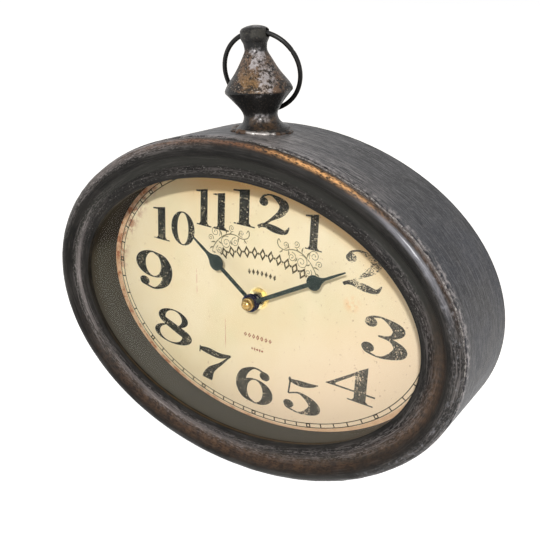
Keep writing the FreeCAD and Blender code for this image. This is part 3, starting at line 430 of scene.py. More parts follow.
# Painted shadow: the bezel's shadow, a near-black band across the top of the surround.
colour = blend(span(z, 0.118, 0.136, 0.0, 0.85), colour, tint(30, 26, 21))
dust = span(grain(spot, 900.0, 3.0, 0.6), 0.58, 0.72)
colour = blend(dust * 0.25, colour, tint(128, 120, 106))
feed(shader, Base_Color=colour, Roughness=span(cloud, 0.3, 0.7, 0.62, 0.75))
relief(shader, grain(spot, 700.0, 3.0), 0.00003)
dress(surround_paint, "dial_surround")

# Dial: aged cream paper glued to a hardboard and held by the surround.
# The paper is browned at its edge, with warm painted shade at its top and right edge, foxed at the left and lightly
# scratched; the board is pressed wood fibre.
hardboard, shader = finish("hardboard", IOR=1.45, Specular_IOR_Level=0.2)
spot = place_of(shader)[0]
fibre = grain(spot, 700.0, 5.0, 0.7, 1.2)
colour = blend(span(grain(spot, 45.0, 4.0), 0.35, 0.65), tint(92, 62, 40), tint(118, 84, 56))
colour = blend(span(fibre, 0.5, 0.66) * 0.5, colour, tint(150, 112, 76))
feed(shader, Base_Color=colour, Roughness=span(fibre, 0.3, 0.7, 0.9, 0.7))
relief(shader, fibre, 0.00012)
dress(hardboard, "dial_board")

OPENING_HALF, STAIN_AT = (0.1265, 0.0915), (0.067, 0.0115)


def slant(first, second):
    """The straight way across two sides of a right angle."""
    return calc("SQRT", first * first + second * second)


paper_age, given, made = group("paper_age", {"Place": "Vector"}, {"Paper": "Color"})
spot = given["Place"]
x, y, z = parts_of(spot)
rise = z - CASE_AXIS
wide, high = x / OPENING_HALF[0], rise / OPENING_HALF[1]
out = slant(wide, high)
cloud = grain(spot, 16.0, 5.0, 0.6)
colour = blend(span(cloud, 0.35, 0.65), tint(240, 223, 182), tint(246, 232, 197))
green = span(grain(spot, 23.0, 3.0, 0.5, 0.4), 0.54, 0.70)
colour = blend(green * 0.35, colour, tint(228, 220, 178))
# Browning at the top and right edge, which also serves as painted warm shade inside the bezel's shadow.
browned_and_shaded = span(out, 0.66, 0.82) * span(wide * 0.3 + high, 0.38, 0.78)
colour = blend(browned_and_shaded * 0.9, colour, tint(222, 176, 112))
pink = span(wide - high, 0.1, 1.1, 0.0, 0.8)
colour = blend(pink, colour, tint(250, 226, 196))
rust = span(grain(spot, 44.0, 4.0, 0.6), 0.66, 0.76)
colour = blend(rust * 0.5, colour, tint(232, 178, 112))
corner = high * 0.3 + wide * -0.7 + out
fox = span(grain(spot, 130.0, 5.0, 0.65), 0.46, 0.62) * span(corner, 1.52, 1.68)
colour = blend(fox * 0.9, colour, tint(172, 104, 72))
scorched = span(grain(spot, 210.0, 5.0, 0.65), 0.42, 0.58) * span(corner, 1.62, 1.72)
colour = blend(scorched * 0.8, colour, tint(112, 72, 50))
away = slant(x - STAIN_AT[0], rise - STAIN_AT[1])
stain = span(away, 0.0075, 0.001) * span(grain(spot, 260.0, 4.0), 0.36, 0.60)
colour = blend(stain * 0.6, colour, tint(240, 190, 130))
specks = span(grain(spot, 620.0, 2.0, 0.5), 0.685, 0.745)
colour = blend(specks * 0.45, colour, tint(160, 116, 76))
broken = span(grain(spot, 480.0, 3.0, 0.6), 0.40, 0.56)
for side, low, high_end in ((-0.0515, -0.006, 0.009), (-0.0275, -0.041, -0.023)):
    scratch = window(x, side - 0.0001, side + 0.0001, 0.00025) * window(rise, low, high_end, 0.003) * broken
    colour = blend(scratch * 0.75, colour, tint(204, 126, 100))
ragged = grain(spot, 70.0, 5.0, 0.6) * 0.03 + out
colour = blend(span(ragged, 0.972, 0.985) * 0.75, colour, tint(226, 184, 144))
burnt = span(ragged, 0.965, 0.995) * span(grain(spot, 190.0, 5.0, 0.65), 0.44, 0.62)
colour = blend(burnt * span(wide, 0.3, -0.5, 0.15, 0.85), colour, tint(170, 98, 62))
join(colour, made["Paper"])

paper, shader = finish("dial_paper", IOR=1.45, Specular_IOR_Level=0.15)
spot = place_of(shader)[0]
feed(shader, Base_Color=use(paper_age, Place=spot)["Paper"], Roughness=span(grain(spot, 60.0), 0.3, 0.7, 0.62, 0.78))
relief(shader, grain(spot, 900.0, 3.0), 0.00003)
dress(paper, "dial_paper")

# Numbers: fat upright figures with ball ends, printed straight onto the paper.
# The whole print sits a little turned on the case; its ink is rubbed through in specks, most at the right.
DIAL_FRONT, PRINT_LIFT = -0.001, 0.00005
PRINT_TURN = math.radians(1.9)
FADED_AT, FADED_HALF, FIGURE_GAP = (0.073, 0.035), (0.017, 0.015), 0.06

ink_wear, given, made = group("ink_wear", {"Place": "Vector", "Loss": "Float"}, {"Bare": "Float", "Grey": "Float"})
spot = given["Place"]
x, y, z = parts_of(spot)
salt = grain(spot, 1350.0, 3.0, 0.7)
rub = grain(spot, 75.0, 4.0, 0.6)
grey = span(z * -0.55 + x, -0.13, 0.05)
aside = (x - FADED_AT[0]) / FADED_HALF[0]
above = (z - (CASE_AXIS + FADED_AT[1])) / FADED_HALF[1]
away = slant(aside, above)
faded = span(away, 0.4, 1.1, 0.105, 0.0)
loss = given["Loss"] + faded
total = salt * 0.6 + loss + rub * 0.4
cells = add(ink_wear, "ShaderNodeTexVoronoi", Vector=spot, Scale=620.0).outputs
red = Field(add(ink_wear, "ShaderNodeSeparateColor", Color=cells["Color"]).outputs["Red"])
chosen = span(red + given["Loss"], 0.74, 0.80)
pricked = span(Field(cells["Distance"]), 0.38, 0.20, 0.0, 0.65) * chosen
join(most(span(total, 0.575, 0.63), pricked), made["Bare"])
join(grey, made["Grey"])


def ink(name, dark, pale, loss):
    """Printing ink of one colour, rubbed through to the paper in specks."""
    material, shader = finish(name, IOR=1.45, Specular_IOR_Level=0.15, Roughness=0.65)
    spot = place_of(shader)[0]
    worn = use(ink_wear, Place=spot, Loss=loss)
    fine = span(grain(spot, 1250.0, 4.0, 0.65), 0.38, 0.62)
    patchy = worn["Grey"] * 0.3 + fine * (worn["Grey"] * 0.75 + 0.25)
    shade = blend(patchy, dark, pale)
    feed(shader, Base_Color=blend(worn["Bare"], shade, use(paper_age, Place=spot)["Paper"]))
    return material


def stroke(points, steps=7):
    """A pen stroke as flat triangles: each point is a place and the half width of the stroke there."""
    line = softened(points, steps)
    sides = []
    for step, (x, y, half) in enumerate(line):
        before, after = line[max(step - 1, 0)], line[min(step + 1, len(line) - 1)]
        along = Vector((after[0] - before[0], after[1] - before[1])).normalized()
        sides.append(((x - along.y * half, y + along.x * half), (x + along.y * half, y - along.x * half)))
    return [corners for a, b in zip(sides, sides[1:]) for corners in ([a[0], a[1], b[1]], [a[0], b[1], b[0]])]


def dot(x, y, radius):
    """A round dot as one flat shape."""
    return [[(x + radius * math.cos(t * math.pi / 10), y + radius * math.sin(t * math.pi / 10)) for t in range(20)]]


def ring_shape(centre, outer, inner, shift=0.0, steps=40):
    """An oval ring as flat shapes, its hole shifted sideways."""
    turns = [2 * math.pi * s / steps for s in range(steps + 1)]
    rims = [[(middle + half[0] * math.cos(turn), centre[1] + half[1] * math.sin(turn)) for turn in turns]
            for half, middle in ((outer, centre[0]), (inner, centre[0] + shift))]
    return [[rims[0][s], rims[0][s + 1], rims[1][s + 1], rims[1][s]] for s in range(steps)]


def printed(name, shapes, material):
    """Overlapping flat shapes, in millimetres on the dial, printed as one thin layer on the paper."""
    places, faces = [], []
    for shape in shapes:
        faces.append(list(range(len(places), len(places) + len(shape))))
        places += [Vector(p) for p in shape]
    corners, _, parts, _, _, origins = delaunay_2d_cdt(places, [], faces, 1, 1e-6)
    covered = [part for part, origin in zip(parts, origins) if origin]
    mesh = bpy.data.meshes.new(name)
    mesh.from_pydata([(p.x / 1000, 0, p.y / 1000) for p in corners], [], covered)
    mesh.transform(on_dial)
    shape = bmesh.new()
    shape.from_mesh(mesh)
    for face in shape.faces:
        if face.normal.y > 0:
            face.normal_flip()
    shape.to_mesh(mesh)
    shape.free()
    return piece(name, mesh, material)


def extent(shapes, axis):
    """How far flat shapes reach, from the lowest to the highest place."""
    values = [p[axis] for shape in shapes for p in shape]
    return min(values), max(values)


on_dial = Matrix.Translation((0, DIAL_FRONT - PRINT_LIFT, CASE_AXIS)) @ Matrix.Rotation(PRINT_TURN, 4, "Y")
number_ink = ink("number_ink", tint(26, 30, 27), tint(108, 104, 95), 0.0)
NINE = (ring_shape((0.40, 0.655), (0.40, 0.345), (0.185, 0.31), 0.02)
        + stroke([(0.42, 0.982, 0.014), (0.66, 0.87, 0.07), (0.755, 0.60, 0.115), (0.70, 0.25, 0.09),
                  (0.46, 0.025, 0.026), (0.22, 0.07, 0.03)]) + dot(0.205, 0.16, 0.115))
FIGURES = {
    "0": ring_shape((0.41, 0.5), (0.41, 0.5), (0.195, 0.465)),
    "1": [[(0.17, 0.02), (0.44, 0.02), (0.44, 1.0), (0.17, 0.95)],
          [(0.0, 0.885), (0.2, 0.895), (0.2, 0.95), (0.0, 0.925)],
          [(0.03, 0.0), (0.6, 0.0), (0.6, 0.035), (0.03, 0.035)],
          [(0.12, 0.03), (0.51, 0.03), (0.44, 0.1), (0.17, 0.1)]],
    "2": stroke([(0.15, 0.80, 0.03), (0.24, 0.93, 0.026), (0.44, 0.972, 0.028), (0.73, 0.80, 0.12),
                 (0.69, 0.58, 0.095), (0.42, 0.32, 0.034), (0.11, 0.05, 0.022)])
    + stroke([(0.09, 0.08, 0.03), (0.28, 0.15, 0.065), (0.55, 0.10, 0.095), (0.80, 0.08, 0.055),
              (0.90, 0.24, 0.012)]) + dot(0.225, 0.77, 0.115),
    "3": stroke([(0.14, 0.86, 0.03), (0.26, 0.955, 0.026), (0.46, 0.972, 0.028), (0.73, 0.79, 0.12),
                 (0.62, 0.58, 0.045), (0.38, 0.53, 0.018)])
    + stroke([(0.38, 0.53, 0.018), (0.64, 0.49, 0.05), (0.79, 0.27, 0.135), (0.48, 0.028, 0.028), (0.2, 0.07, 0.028),
              (0.13, 0.15, 0.03)]) + dot(0.225, 0.82, 0.115) + dot(0.205, 0.19, 0.12),
    "4": [[(0.60, 0.0), (0.84, 0.0), (0.84, 1.0), (0.60, 0.80)], [(0.0, 0.25), (0.22, 0.25), (0.20, 0.42)],
          [(0.03, 0.25), (1.02, 0.25), (1.02, 0.295), (0.03, 0.295)],
          [(0.0, 0.25), (0.13, 0.26), (0.84, 0.93), (0.84, 1.0)],
          [(0.47, 0.0), (0.99, 0.0), (0.99, 0.035), (0.47, 0.035)],
          [(0.56, 0.03), (0.90, 0.03), (0.84, 0.09), (0.60, 0.09)]],
    "5": stroke([(0.22, 0.99, 0.012), (0.24, 0.90, 0.045), (0.46, 0.885, 0.085), (0.68, 0.93, 0.055),
                 (0.84, 1.0, 0.012)]) + stroke([(0.235, 0.95, 0.02), (0.2, 0.5, 0.018)])
    + stroke([(0.2, 0.5, 0.018), (0.45, 0.60, 0.03), (0.73, 0.44, 0.105), (0.77, 0.24, 0.13), (0.48, 0.028, 0.028),
              (0.2, 0.07, 0.028), (0.14, 0.15, 0.03)]) + dot(0.215, 0.19, 0.115),
    "6": [[(0.87 - x, 1 - y) for x, y in corners] for corners in NINE],
    "7": stroke([(0.06, 0.99, 0.016), (0.05, 0.78, 0.016)])
    + stroke([(0.06, 0.91, 0.055), (0.30, 0.895, 0.10), (0.60, 0.86, 0.085), (0.90, 0.96, 0.025)])
    + stroke([(0.90, 0.96, 0.02), (0.64, 0.62, 0.04), (0.38, 0.33, 0.095), (0.29, 0.10, 0.135), (0.27, 0.0, 0.135)]),
    "8": ring_shape((0.44, 0.745), (0.34, 0.255), (0.19, 0.22), 0.01)
    + ring_shape((0.44, 0.275), (0.43, 0.275), (0.26, 0.238), -0.05)
    + stroke([(0.16, 0.80, 0.02), (0.24, 0.64, 0.08), (0.46, 0.50, 0.10), (0.70, 0.36, 0.10), (0.80, 0.22, 0.03)]),
    "9": NINE,
}
# number, then the middle, width and height of its place on the dial in millimetres
LAYOUT = [("12", -1.1, 58.9, 43, 24.6), ("1", 37.6, 53.3, 12.5, 23.3), ("2", 72.3, 36.4, 26.1, 25.1),
          ("3", 90.4, -2.3, 30.1, 27), ("4", 70.3, -37.7, 35.1, 26), ("5", 36.5, -61.1, 28.1, 25.5),
          ("6", -1.3, -64.9, 30.3, 27.5), ("7", -34.9, -60.9, 27.7, 24.8), ("8", -72.6, -41.5, 34.1, 26.9),
          ("9", -89.9, -2.4, 33.5, 28.6), ("10", -71.8, 34.2, 36.2, 24), ("11", -39, 52.7, 26.9, 25.6)]
for number, middle, level, broad, tall in LAYOUT:
    shapes, reach = [], 0.0
    for figure in number:
        low, high = extent(FIGURES[figure], 0)
        shapes += [[(x - low + reach, y) for x, y in corners] for corners in FIGURES[figure]]
        reach += high - low + FIGURE_GAP
    (low, high), (foot, head) = extent(shapes, 0), extent(shapes, 1)
    placed = [[(middle + ((x - low) / (high - low) - 0.5) * broad, level + ((y - foot) / (head - foot) - 0.5) * tall)
               for x, y in corners] for corners in shapes]
    printed("number_" + number, placed, number_ink)

# Minute track: two thin oval lines with a stroke for each minute and a small open square for each fifth.
# Printed in a thin brown ink; each stroke and square stands square to the track.
TRACK_HALF, TRACK_MIDDLE, TRACK_WIDTH = (0.1191, 0.0853), (-0.00105, -0.0006), 0.0029
STROKE_WIDTH, LINE_HALF, LINE_STEPS = 0.0009, 0.00028, 240
MINUTE_SPREAD, SQUARE_HALF = 0.95, 0.42


def grown(tree, mesh, **sizes):
    """The plain mesh that a geometry node tree makes from a shape and its sizes."""
    carrier = bpy.data.objects.new(tree.name, mesh)
    bpy.context.scene.collection.objects.link(carrier)
    change = carrier.modifiers.new(tree.name, "NODES")
    change.node_group = tree
    for socket in tree.interface.items_tree:
        if socket.in_out == "INPUT" and socket.name.replace(" ", "_") in sizes:
            change[socket.identifier] = sizes[socket.name.replace(" ", "_")]
    bpy.context.view_layer.update()
    result = bpy.data.meshes.new_from_object(carrier.evaluated_get(bpy.context.evaluated_depsgraph_get()))
    bpy.data.objects.remove(carrier)
    return result


line_ink = ink("line_ink", tint(58, 52, 42), tint(92, 84, 68), -0.3)
asked = {"Geometry": "Geometry", "Half Width": "Float", "Half Height": "Float", "Length": "Float",
         "Thickness": "Float"}
tree, given, made = group("minute_marks", asked, {"Geometry": "Geometry"}, "GeometryNodeTree")
thin, long = given["Thickness"], given["Length"]
index = Field(add(tree, "GeometryNodeInputIndex").outputs[0])
angle = index * math.radians(6)
side, rise = calc("SINE", angle) * MINUTE_SPREAD, calc("COSINE", angle)
run, climb = side / given["Half Width"], rise / given["Half Height"]
reach = calc("DIVIDE", 1.0, slant(run, climb))
x, z = side * reach, rise * reach
spread = add(tree, "GeometryNodePoints", Count=60, Position=add(tree, "ShaderNodeCombineXYZ", X=x, Z=z).outputs[0])
slope = calc("ARCTAN2", run / given["Half Width"], climb / given["Half Height"])
turned = add(tree, "ShaderNodeCombineXYZ", Y=slope).outputs[0]
fifth = calc("COMPARE", calc("MODULO", index, 5.0), 0.0, 0.1)
upright = (math.pi / 2, 0, 0)
tick = add(tree, "GeometryNodeMeshGrid", Size_X=thin, Size_Y=long, Vertices_X=2, Vertices_Y=2)
stood = add(tree, "GeometryNodeTransform", Geometry=tick.outputs["Mesh"], Rotation=upright)
ticks = add(tree, "GeometryNodeInstanceOnPoints", Points=spread.outputs[0], Instance=stood.outputs[0],
            Rotation=turned, Selection=calc("SUBTRACT", 1.0, fifth))
near, far = long * -SQUARE_HALF, long * SQUARE_HALF
sides = add(tree, "GeometryNodeJoinGeometry")
for wide, tall, x, z in ((thin, long, far, 0.0), (thin, long, near, 0.0),
                         (long, thin, 0.0, far), (long, thin, 0.0, near)):
    bar = add(tree, "GeometryNodeMeshGrid", Size_X=wide, Size_Y=tall, Vertices_X=2, Vertices_Y=2)
    shifted = add(tree, "GeometryNodeTransform", Geometry=bar.outputs["Mesh"], Rotation=upright,
                  Translation=add(tree, "ShaderNodeCombineXYZ", X=x, Z=z).outputs[0])
    join(shifted.outputs[0], sides.inputs[0])
boxes = add(tree, "GeometryNodeInstanceOnPoints", Points=spread.outputs[0], Instance=sides.outputs[0],
            Rotation=turned, Selection=fifth)
both = add(tree, "GeometryNodeJoinGeometry")
for marks_made in (ticks, boxes):
    join(marks_made.outputs[0], both.inputs[0])
real = add(tree, "GeometryNodeRealizeInstances", Geometry=both.outputs[0])
inked = add(tree, "GeometryNodeSetMaterial", Geometry=real.outputs[0], Material=line_ink)
join(inked.outputs[0], made["Geometry"])
minute_marks = grown(tree, bpy.data.meshes.new("minute_marks"), Half_Width=TRACK_HALF[0], Half_Height=TRACK_HALF[1],
                     Length=TRACK_WIDTH, Thickness=STROKE_WIDTH)
minute_marks.transform(on_dial @ Matrix.Translation((TRACK_MIDDLE[0], 0, TRACK_MIDDLE[1])))
piece("minute_marks", minute_marks, line_ink)

for name, inset in (("track_line_out", -TRACK_WIDTH / 2), ("track_line_in", TRACK_WIDTH / 2)):
    points = []
    for edge in (-LINE_HALF, LINE_HALF):
        for step in range(LINE_STEPS):
            x, z = oval(2 * math.pi * step / LINE_STEPS, inset + edge, TRACK_HALF)
            points.append(on_dial @ Vector((x + TRACK_MIDDLE[0], 0, z + TRACK_MIDDLE[1])))
    line = bpy.data.meshes.new(name)
    line.from_pydata(points, [], ring_faces(2, LINE_STEPS, False))
    piece(name, line, line_ink)

# Ornament: line scrolls beside the top of the hands and rows of lozenges above and below the middle.
# A plain pattern of its own, printed in thinner olive, brown and red inks.
scroll_ink = ink("scroll_ink", tint(120, 112, 84), tint(158, 150, 120), -0.04)
row_ink = ink("row_ink", tint(74, 66, 48), tint(112, 102, 78), -0.02)
red_ink = ink("red_ink", tint(136, 58, 44), tint(172, 100, 78), -0.01)


def curl(x, y, radius, start, turns, width=0.24):
    """A spiral pen stroke winding in to its middle."""
    steps = int(14 * abs(turns))
    path = []
    for step in range(steps + 1):
        share = step / steps
        angle = math.radians(start) + 2 * math.pi * turns * share
        size = radius * (1 - 0.82 * share)
        path.append((x + size * math.cos(angle), y + size * math.sin(angle), width * (1 - 0.3 * share)))
    return stroke(path, 2) + dot(path[-1][0], path[-1][1], width * 1.7)


def leaf(x, y, over, up):
    """A pointed leaf from a place on the scroll, bowed to one side."""
    return stroke([(x, y, 0.05), (x + over * 0.45 - up * 0.12, y + up * 0.45 + over * 0.12, 0.5),
                   (x + over, y + up, 0.03)], 5)


STEM = [(2.6, 19.2, 0.2), (1.2, 21.2, 0.3), (0.3, 18.8, 0.34), (1.8, 16.0, 0.3), (6, 14.8, 0.3), (11, 16.2, 0.34),
        (16, 16.0, 0.38), (21, 13.6, 0.38), (25.2, 9.8, 0.34), (28.6, 4.8, 0.28), (29.6, 0.6, 0.12)]
CURLS = [(18.4, 9.6, 4.6, 110, -1.7), (27.2, 15.4, 3.9, 215, -1.6), (11.2, 11.4, 3.2, 95, -1.5),
         (6.4, 18.4, 2.4, 250, 1.4), (31.0, 10.6, 2.4, 200, -1.3), (23.6, 3.8, 2.7, 60, -1.5),
         (14.2, 20.4, 2.4, 235, 1.4)]
LEAVES = [(9.2, 16.4, -1.2, 3.4), (18.6, 15.4, 0.6, 4.0), (22.2, 13.2, 2.0, 4.4), (16.8, 15.4, -2.6, 2.8),
          (26.6, 8.0, 4.4, -0.8), (28.4, 4.6, 3.4, -2.2), (24.6, 9.6, -3.6, -1.2), (4.4, 15.0, -2.6, -2.6),
          (8.4, 15.2, 0.2, -3.6), (29.4, 1.6, -3.0, -0.6), (20.4, 4.8, -3.6, -1.0), (15.0, 12.0, -1.6, -3.2)]
scroll = stroke(STEM)
for drawn, places in ((curl, CURLS), (leaf, LEAVES)):
    for place in places:
        scroll += drawn(*place)
SCROLL_MIDDLE, SCROLL_FOOT, SCROLL_GAP = 1.4, 22.6, 10.4
for name, way in (("scroll_right", 1), ("scroll_left", -1)):
    placed = [[(SCROLL_MIDDLE + way * (SCROLL_GAP + x), SCROLL_FOOT + y) for x, y in corners] for corners in scroll]
    printed(name, placed, scroll_ink)

asked = {"Geometry": "Geometry", "Count": "Int", "Radius": "Float", "Start": "Float", "Step": "Float",
         "Finish": "Material"}
tree, given, made = group("spread_round", asked, {"Geometry": "Geometry"}, "GeometryNodeTree")
spread_round = tree
index = Field(add(tree, "GeometryNodeInputIndex").outputs[0])
angle = index * given["Step"] + given["Start"]
side, rise = calc("SINE", angle) * given["Radius"], calc("COSINE", angle) * given["Radius"]
at = add(tree, "ShaderNodeCombineXYZ", X=side, Z=rise).outputs[0]
spread = add(tree, "GeometryNodePoints", Count=given["Count"], Position=at)
single = add(tree, "GeometryNodeGeometryToInstance", Geometry=given["Geometry"])
copies = add(tree, "GeometryNodeInstanceOnPoints", Points=spread.outputs[0], Instance=single.outputs[0],
             Rotation=add(tree, "ShaderNodeCombineXYZ", Y=angle).outputs[0])
real = add(tree, "GeometryNodeRealizeInstances", Geometry=copies.outputs[0])
finished = add(tree, "GeometryNodeSetMaterial", Geometry=real.outputs[0], Material=given["Finish"])
join(finished.outputs[0], made["Geometry"])


def flat(name, shapes):
    """Flat shapes in millimetres as a mesh that faces the front."""
    mesh = bpy.data.meshes.new(name)
    corners = [(x / 1000, 0, y / 1000) for shape in shapes for x, y in shape]
    counts, faces = 0, []
    for shape in shapes:
        faces.append(list(range(counts, counts + len(shape))))
        counts += len(shape)
    mesh.from_pydata(corners, [], faces)
    return mesh


def lozenge(wide, tall, hollow=0.0):
    """A lozenge of four triangles, or an open one of four bars."""
    tips = [(wide / 2, 0), (0, tall / 2), (-wide / 2, 0), (0, -tall / 2)]
    sides = list(zip(tips, tips[1:] + tips[:1]))
    if not hollow:
        return [[a, b, (0, 0)] for a, b in sides]
    return [[a, b, (hollow * b[0], hollow * b[1]), (hollow * a[0], hollow * a[1])] for a, b in sides]


ARC_FOOT, RED_ROW, RED_DOTS = -51.0, -28.6, -37.6
for name, shapes, count, radius, step, material in (
        ("lozenge_arc", lozenge(5.0, 8.6, 0.5), 11, 81.5, 4.3, row_ink),
        ("lozenge_arc_dots", lozenge(1.4, 2.2), 12, 81.5, 4.3, row_ink),
        ("lozenge_row", lozenge(2.3, 4.2), 7, 68.5, 2.75, row_ink)):
    row = grown(spread_round, flat(name, shapes), Count=count, Radius=radius / 1000, Step=math.radians(step),
                Start=-math.radians(step) * (count - 1) / 2, Finish=material)
    row.transform(on_dial @ Matrix.Translation((SCROLL_MIDDLE / 1000, 0, ARC_FOOT / 1000)))
    piece(name, row, material)
red_row = [[(x + 3.3 * place, y + RED_ROW) for x, y in shape] for place in (-3, -2, -1, 0, 1, 2, 3)
           for shape in lozenge(2.4, 4.0 - 0.35 * abs(place), 0.45)]
printed("red_row", red_row, red_ink)
printed("red_dots", [corners for place in (-4, 0, 4) for corners in dot(place, RED_DOTS, 0.75)]
        + [[(x + way, y + RED_DOTS) for x, y in shape] for way in (-2, 2) for shape in lozenge(1.1, 3.0)], red_ink)

# Tabs: strips of zinc-plated steel spot-welded inside the band, bent to hold the dial and take the panel's screws.
# Plating is a dull grey with faint yellow blooms and brushed marks.
zinc, shader = finish("zinc_steel", IOR=1.45, Metallic=0.9)
spot, x, y, z = place_of(shader)
brushed = use(rubbing, Place=spot, Across=y, Long=60.0, Fine=1800.0, From=0.45, To=0.65)
bloom = span(grain(spot, 120.0, 4.0, 0.6), 0.48, 0.66)
colour = blend(brushed["Marks"], tint(146, 147, 146), tint(186, 187, 186))
colour = blend(bloom * 0.45, colour, tint(176, 164, 122))
feed(shader, Base_Color=colour, Roughness=span(brushed["Tone"], 0.3, 0.7, 0.5, 0.34))
relief(shader, brushed["Tone"], 0.00006)
dress(zinc, "dial_tabs", "panel_tabs")

# Movement case: two black moulded shells with a train plate between them and a rubber gasket to the board.
# Mould walls are spark-eroded, so the plastic has a fine even grain and a satin sheen.
case_plastic, shader = finish("case_plastic", IOR=1.45, Specular_IOR_Level=0.3)
spot = place_of(shader)[0]
eroded = grain(spot, 2600.0, 2.0, 0.5)
rubbed = span(grain(spot, 95.0, 5.0, 0.65), 0.52, 0.70)
colour = blend(span(grain(spot, 60.0, 4.0), 0.35, 0.65), tint(26, 26, 28), tint(37, 37, 39))
colour = blend(rubbed * 0.35, colour, tint(70, 70, 71))
feed(shader, Base_Color=colour, Roughness=rubbed * -0.14 + 0.52)
relief(shader, eroded, 0.00006)
dress(case_plastic, "front_housing", "rear_housing", "train_plate", "coil_bobbin")

rubber, shader = finish("black_rubber", IOR=1.45, Specular_IOR_Level=0.2)
spot = place_of(shader)[0]
bloom = span(grain(spot, 170.0, 5.0, 0.65), 0.48, 0.66)
colour = blend(bloom * 0.5, tint(26, 26, 26), tint(62, 60, 57))
feed(shader, Base_Color=colour, Roughness=span(bloom, 0.0, 1.0, 0.7, 0.88))
relief(shader, grain(spot, 1100.0, 3.0, 0.6), 0.00012)
dress(rubber, "mounting_gasket")


def solid(name, outline, low, high):
    """A flat outline in millimetres, seen from the front, as a block between two depths."""
    count = len(outline)
    points = [(x / 1000, y / 1000, z / 1000) for y in (low, high) for x, z in outline]
    faces = [tuple(range(count)), tuple(range(2 * count - 1, count - 1, -1))]
    faces += [(s, count + s, count + (s + 1) % count, (s + 1) % count) for s in range(count)]
    return closed(name, points, faces)


# raised marks moulded on the back shell: which way the cell lies, and which way the knob turns the hands
PLUS = [(-0.4, -1.5), (0.4, -1.5), (0.4, -0.4), (1.5, -0.4), (1.5, 0.4), (0.4, 0.4), (0.4, 1.5), (-0.4, 1.5),
        (-0.4, 0.4), (-1.5, 0.4), (-1.5, -0.4), (-0.4, -0.4)]
MARK_FOOT, MARK_TOP = 19.8, 19.98
MINUS = [(-1.5, -0.4), (1.5, -0.4), (1.5, 0.4), (-1.5, 0.4)]
for name, outline, x, z in (("cell_plus", PLUS, 23.2, 102.2), ("cell_minus", MINUS, -23.2, 102.2)):
    raised = solid(name, [(x + a, z + b) for a, b in outline], MARK_FOOT, MARK_TOP)
    piece(name, raised, case_plastic)
KNOB = (-20.08, 121.59)
for name, start in (("turn_arrow_left", 200), ("turn_arrow_right", 20)):
    inner, outer = [], []
    for step in range(13):
        angle = math.radians(start + 70 * step / 12)
        inner.append((KNOB[0] + 6.4 * math.cos(angle), KNOB[1] + 6.4 * math.sin(angle)))
        outer.append((KNOB[0] + 7.0 * math.cos(angle), KNOB[1] + 7.0 * math.sin(angle)))
    angle = math.radians(start + 70)
    tip = [(KNOB[0] + size * math.cos(angle + over), KNOB[1] + size * math.sin(angle + over))
           for size, over in ((5.8, 0.0), (6.7, 0.28), (7.6, 0.0))]
    raised = solid(name, inner + tip + outer[::-1], MARK_FOOT, MARK_TOP)
    piece(name, raised, case_plastic)

# Wheels: moulded in off-white acetal, faintly clouded where the plastic flowed out from the middle.
# Traces of oil leave patches that are darker and shine more.
wheel_plastic, shader = finish("wheel_plastic", IOR=1.48, Specular_IOR_Level=0.4, Subsurface_Weight=0.15,
                               Subsurface_Radius=(0.002, 0.002, 0.0015))
spot = place_of(shader)[0]
flow = grain(spot, 240.0, 4.0, 0.6, 1.5)
colour = blend(span(flow, 0.35, 0.65), tint(228, 224, 212), tint(212, 206, 190))
oil = span(grain(spot, 130.0, 4.0), 0.56, 0.72)
colour = blend(oil * 0.4, colour, tint(190, 178, 146))
feed(shader, Base_Color=colour, Roughness=span(oil, 0.0, 1.0, 0.46, 0.24))
relief(shader, flow, 0.00004)
dress(wheel_plastic, "hour_wheel", "motion_wheel", "setting_gear", "centre_wheel", "third_wheel", "second_wheel",
      "intermediate_wheel", "rotor")

# Motor: stacked soft-iron stampings for the stator and the core, a coil of enamelled copper wire, a sintered magnet.
# The sheets show as fine lines along the edge, the turns of wire as ridges round the coil, with painted shade in the
# grooves between them.
lamination, shader = finish("lamination", IOR=1.45, Metallic=0.9)
spot, x, y, z = place_of(shader)
sheet = calc("SINE", y * 31000.0)
bloom = grain(spot, 420.0, 4.0, 0.6)
colour = blend(span(bloom, 0.35, 0.65), tint(138, 140, 144), tint(162, 162, 164))
colour = blend(span(sheet, 0.75, 1.0, 0.0, 0.4), colour, tint(84, 80, 78))
feed(shader, Base_Color=colour, Roughness=span(bloom, 0.3, 0.7, 0.46, 0.32))
relief(shader, sheet, 0.00001)
dress(lamination, "stator", "coil_core")

copper_wire, shader = finish("copper_wire", IOR=1.5, Coat_Weight=0.5, Coat_Roughness=0.2)
spot, x, y, z = place_of(shader)
winding = calc("SINE", z * 42000.0)
lay = grain(spot, 330.0, 4.0)
# Painted shade: the copper darkens in the grooves between the turns of wire.
colour = blend(span(winding, -1.0, 1.0), tint(128, 62, 36), tint(202, 116, 70))
colour = blend(span(lay, 0.5, 0.7) * 0.4, colour, tint(150, 84, 52))
feed(shader, Base_Color=colour, Metallic=span(winding, -1.0, 1.0, 0.4, 0.8), Roughness=span(lay, 0.3, 0.7, 0.3, 0.42))
relief(shader, winding, 0.00003)
dress(copper_wire, "coil_winding")

magnet, shader = finish("magnet", IOR=1.45, Metallic=0.5)
spot = place_of(shader)[0]
sinter = grain(spot, 1500.0, 3.0, 0.6)
colour = blend(span(sinter, 0.35, 0.65), tint(46, 46, 49), tint(74, 74, 78))
feed(shader, Base_Color=colour, Roughness=span(sinter, 0.3, 0.7, 0.62, 0.44))
relief(shader, sinter, 0.00004)
dress(magnet, "rotor_magnet")

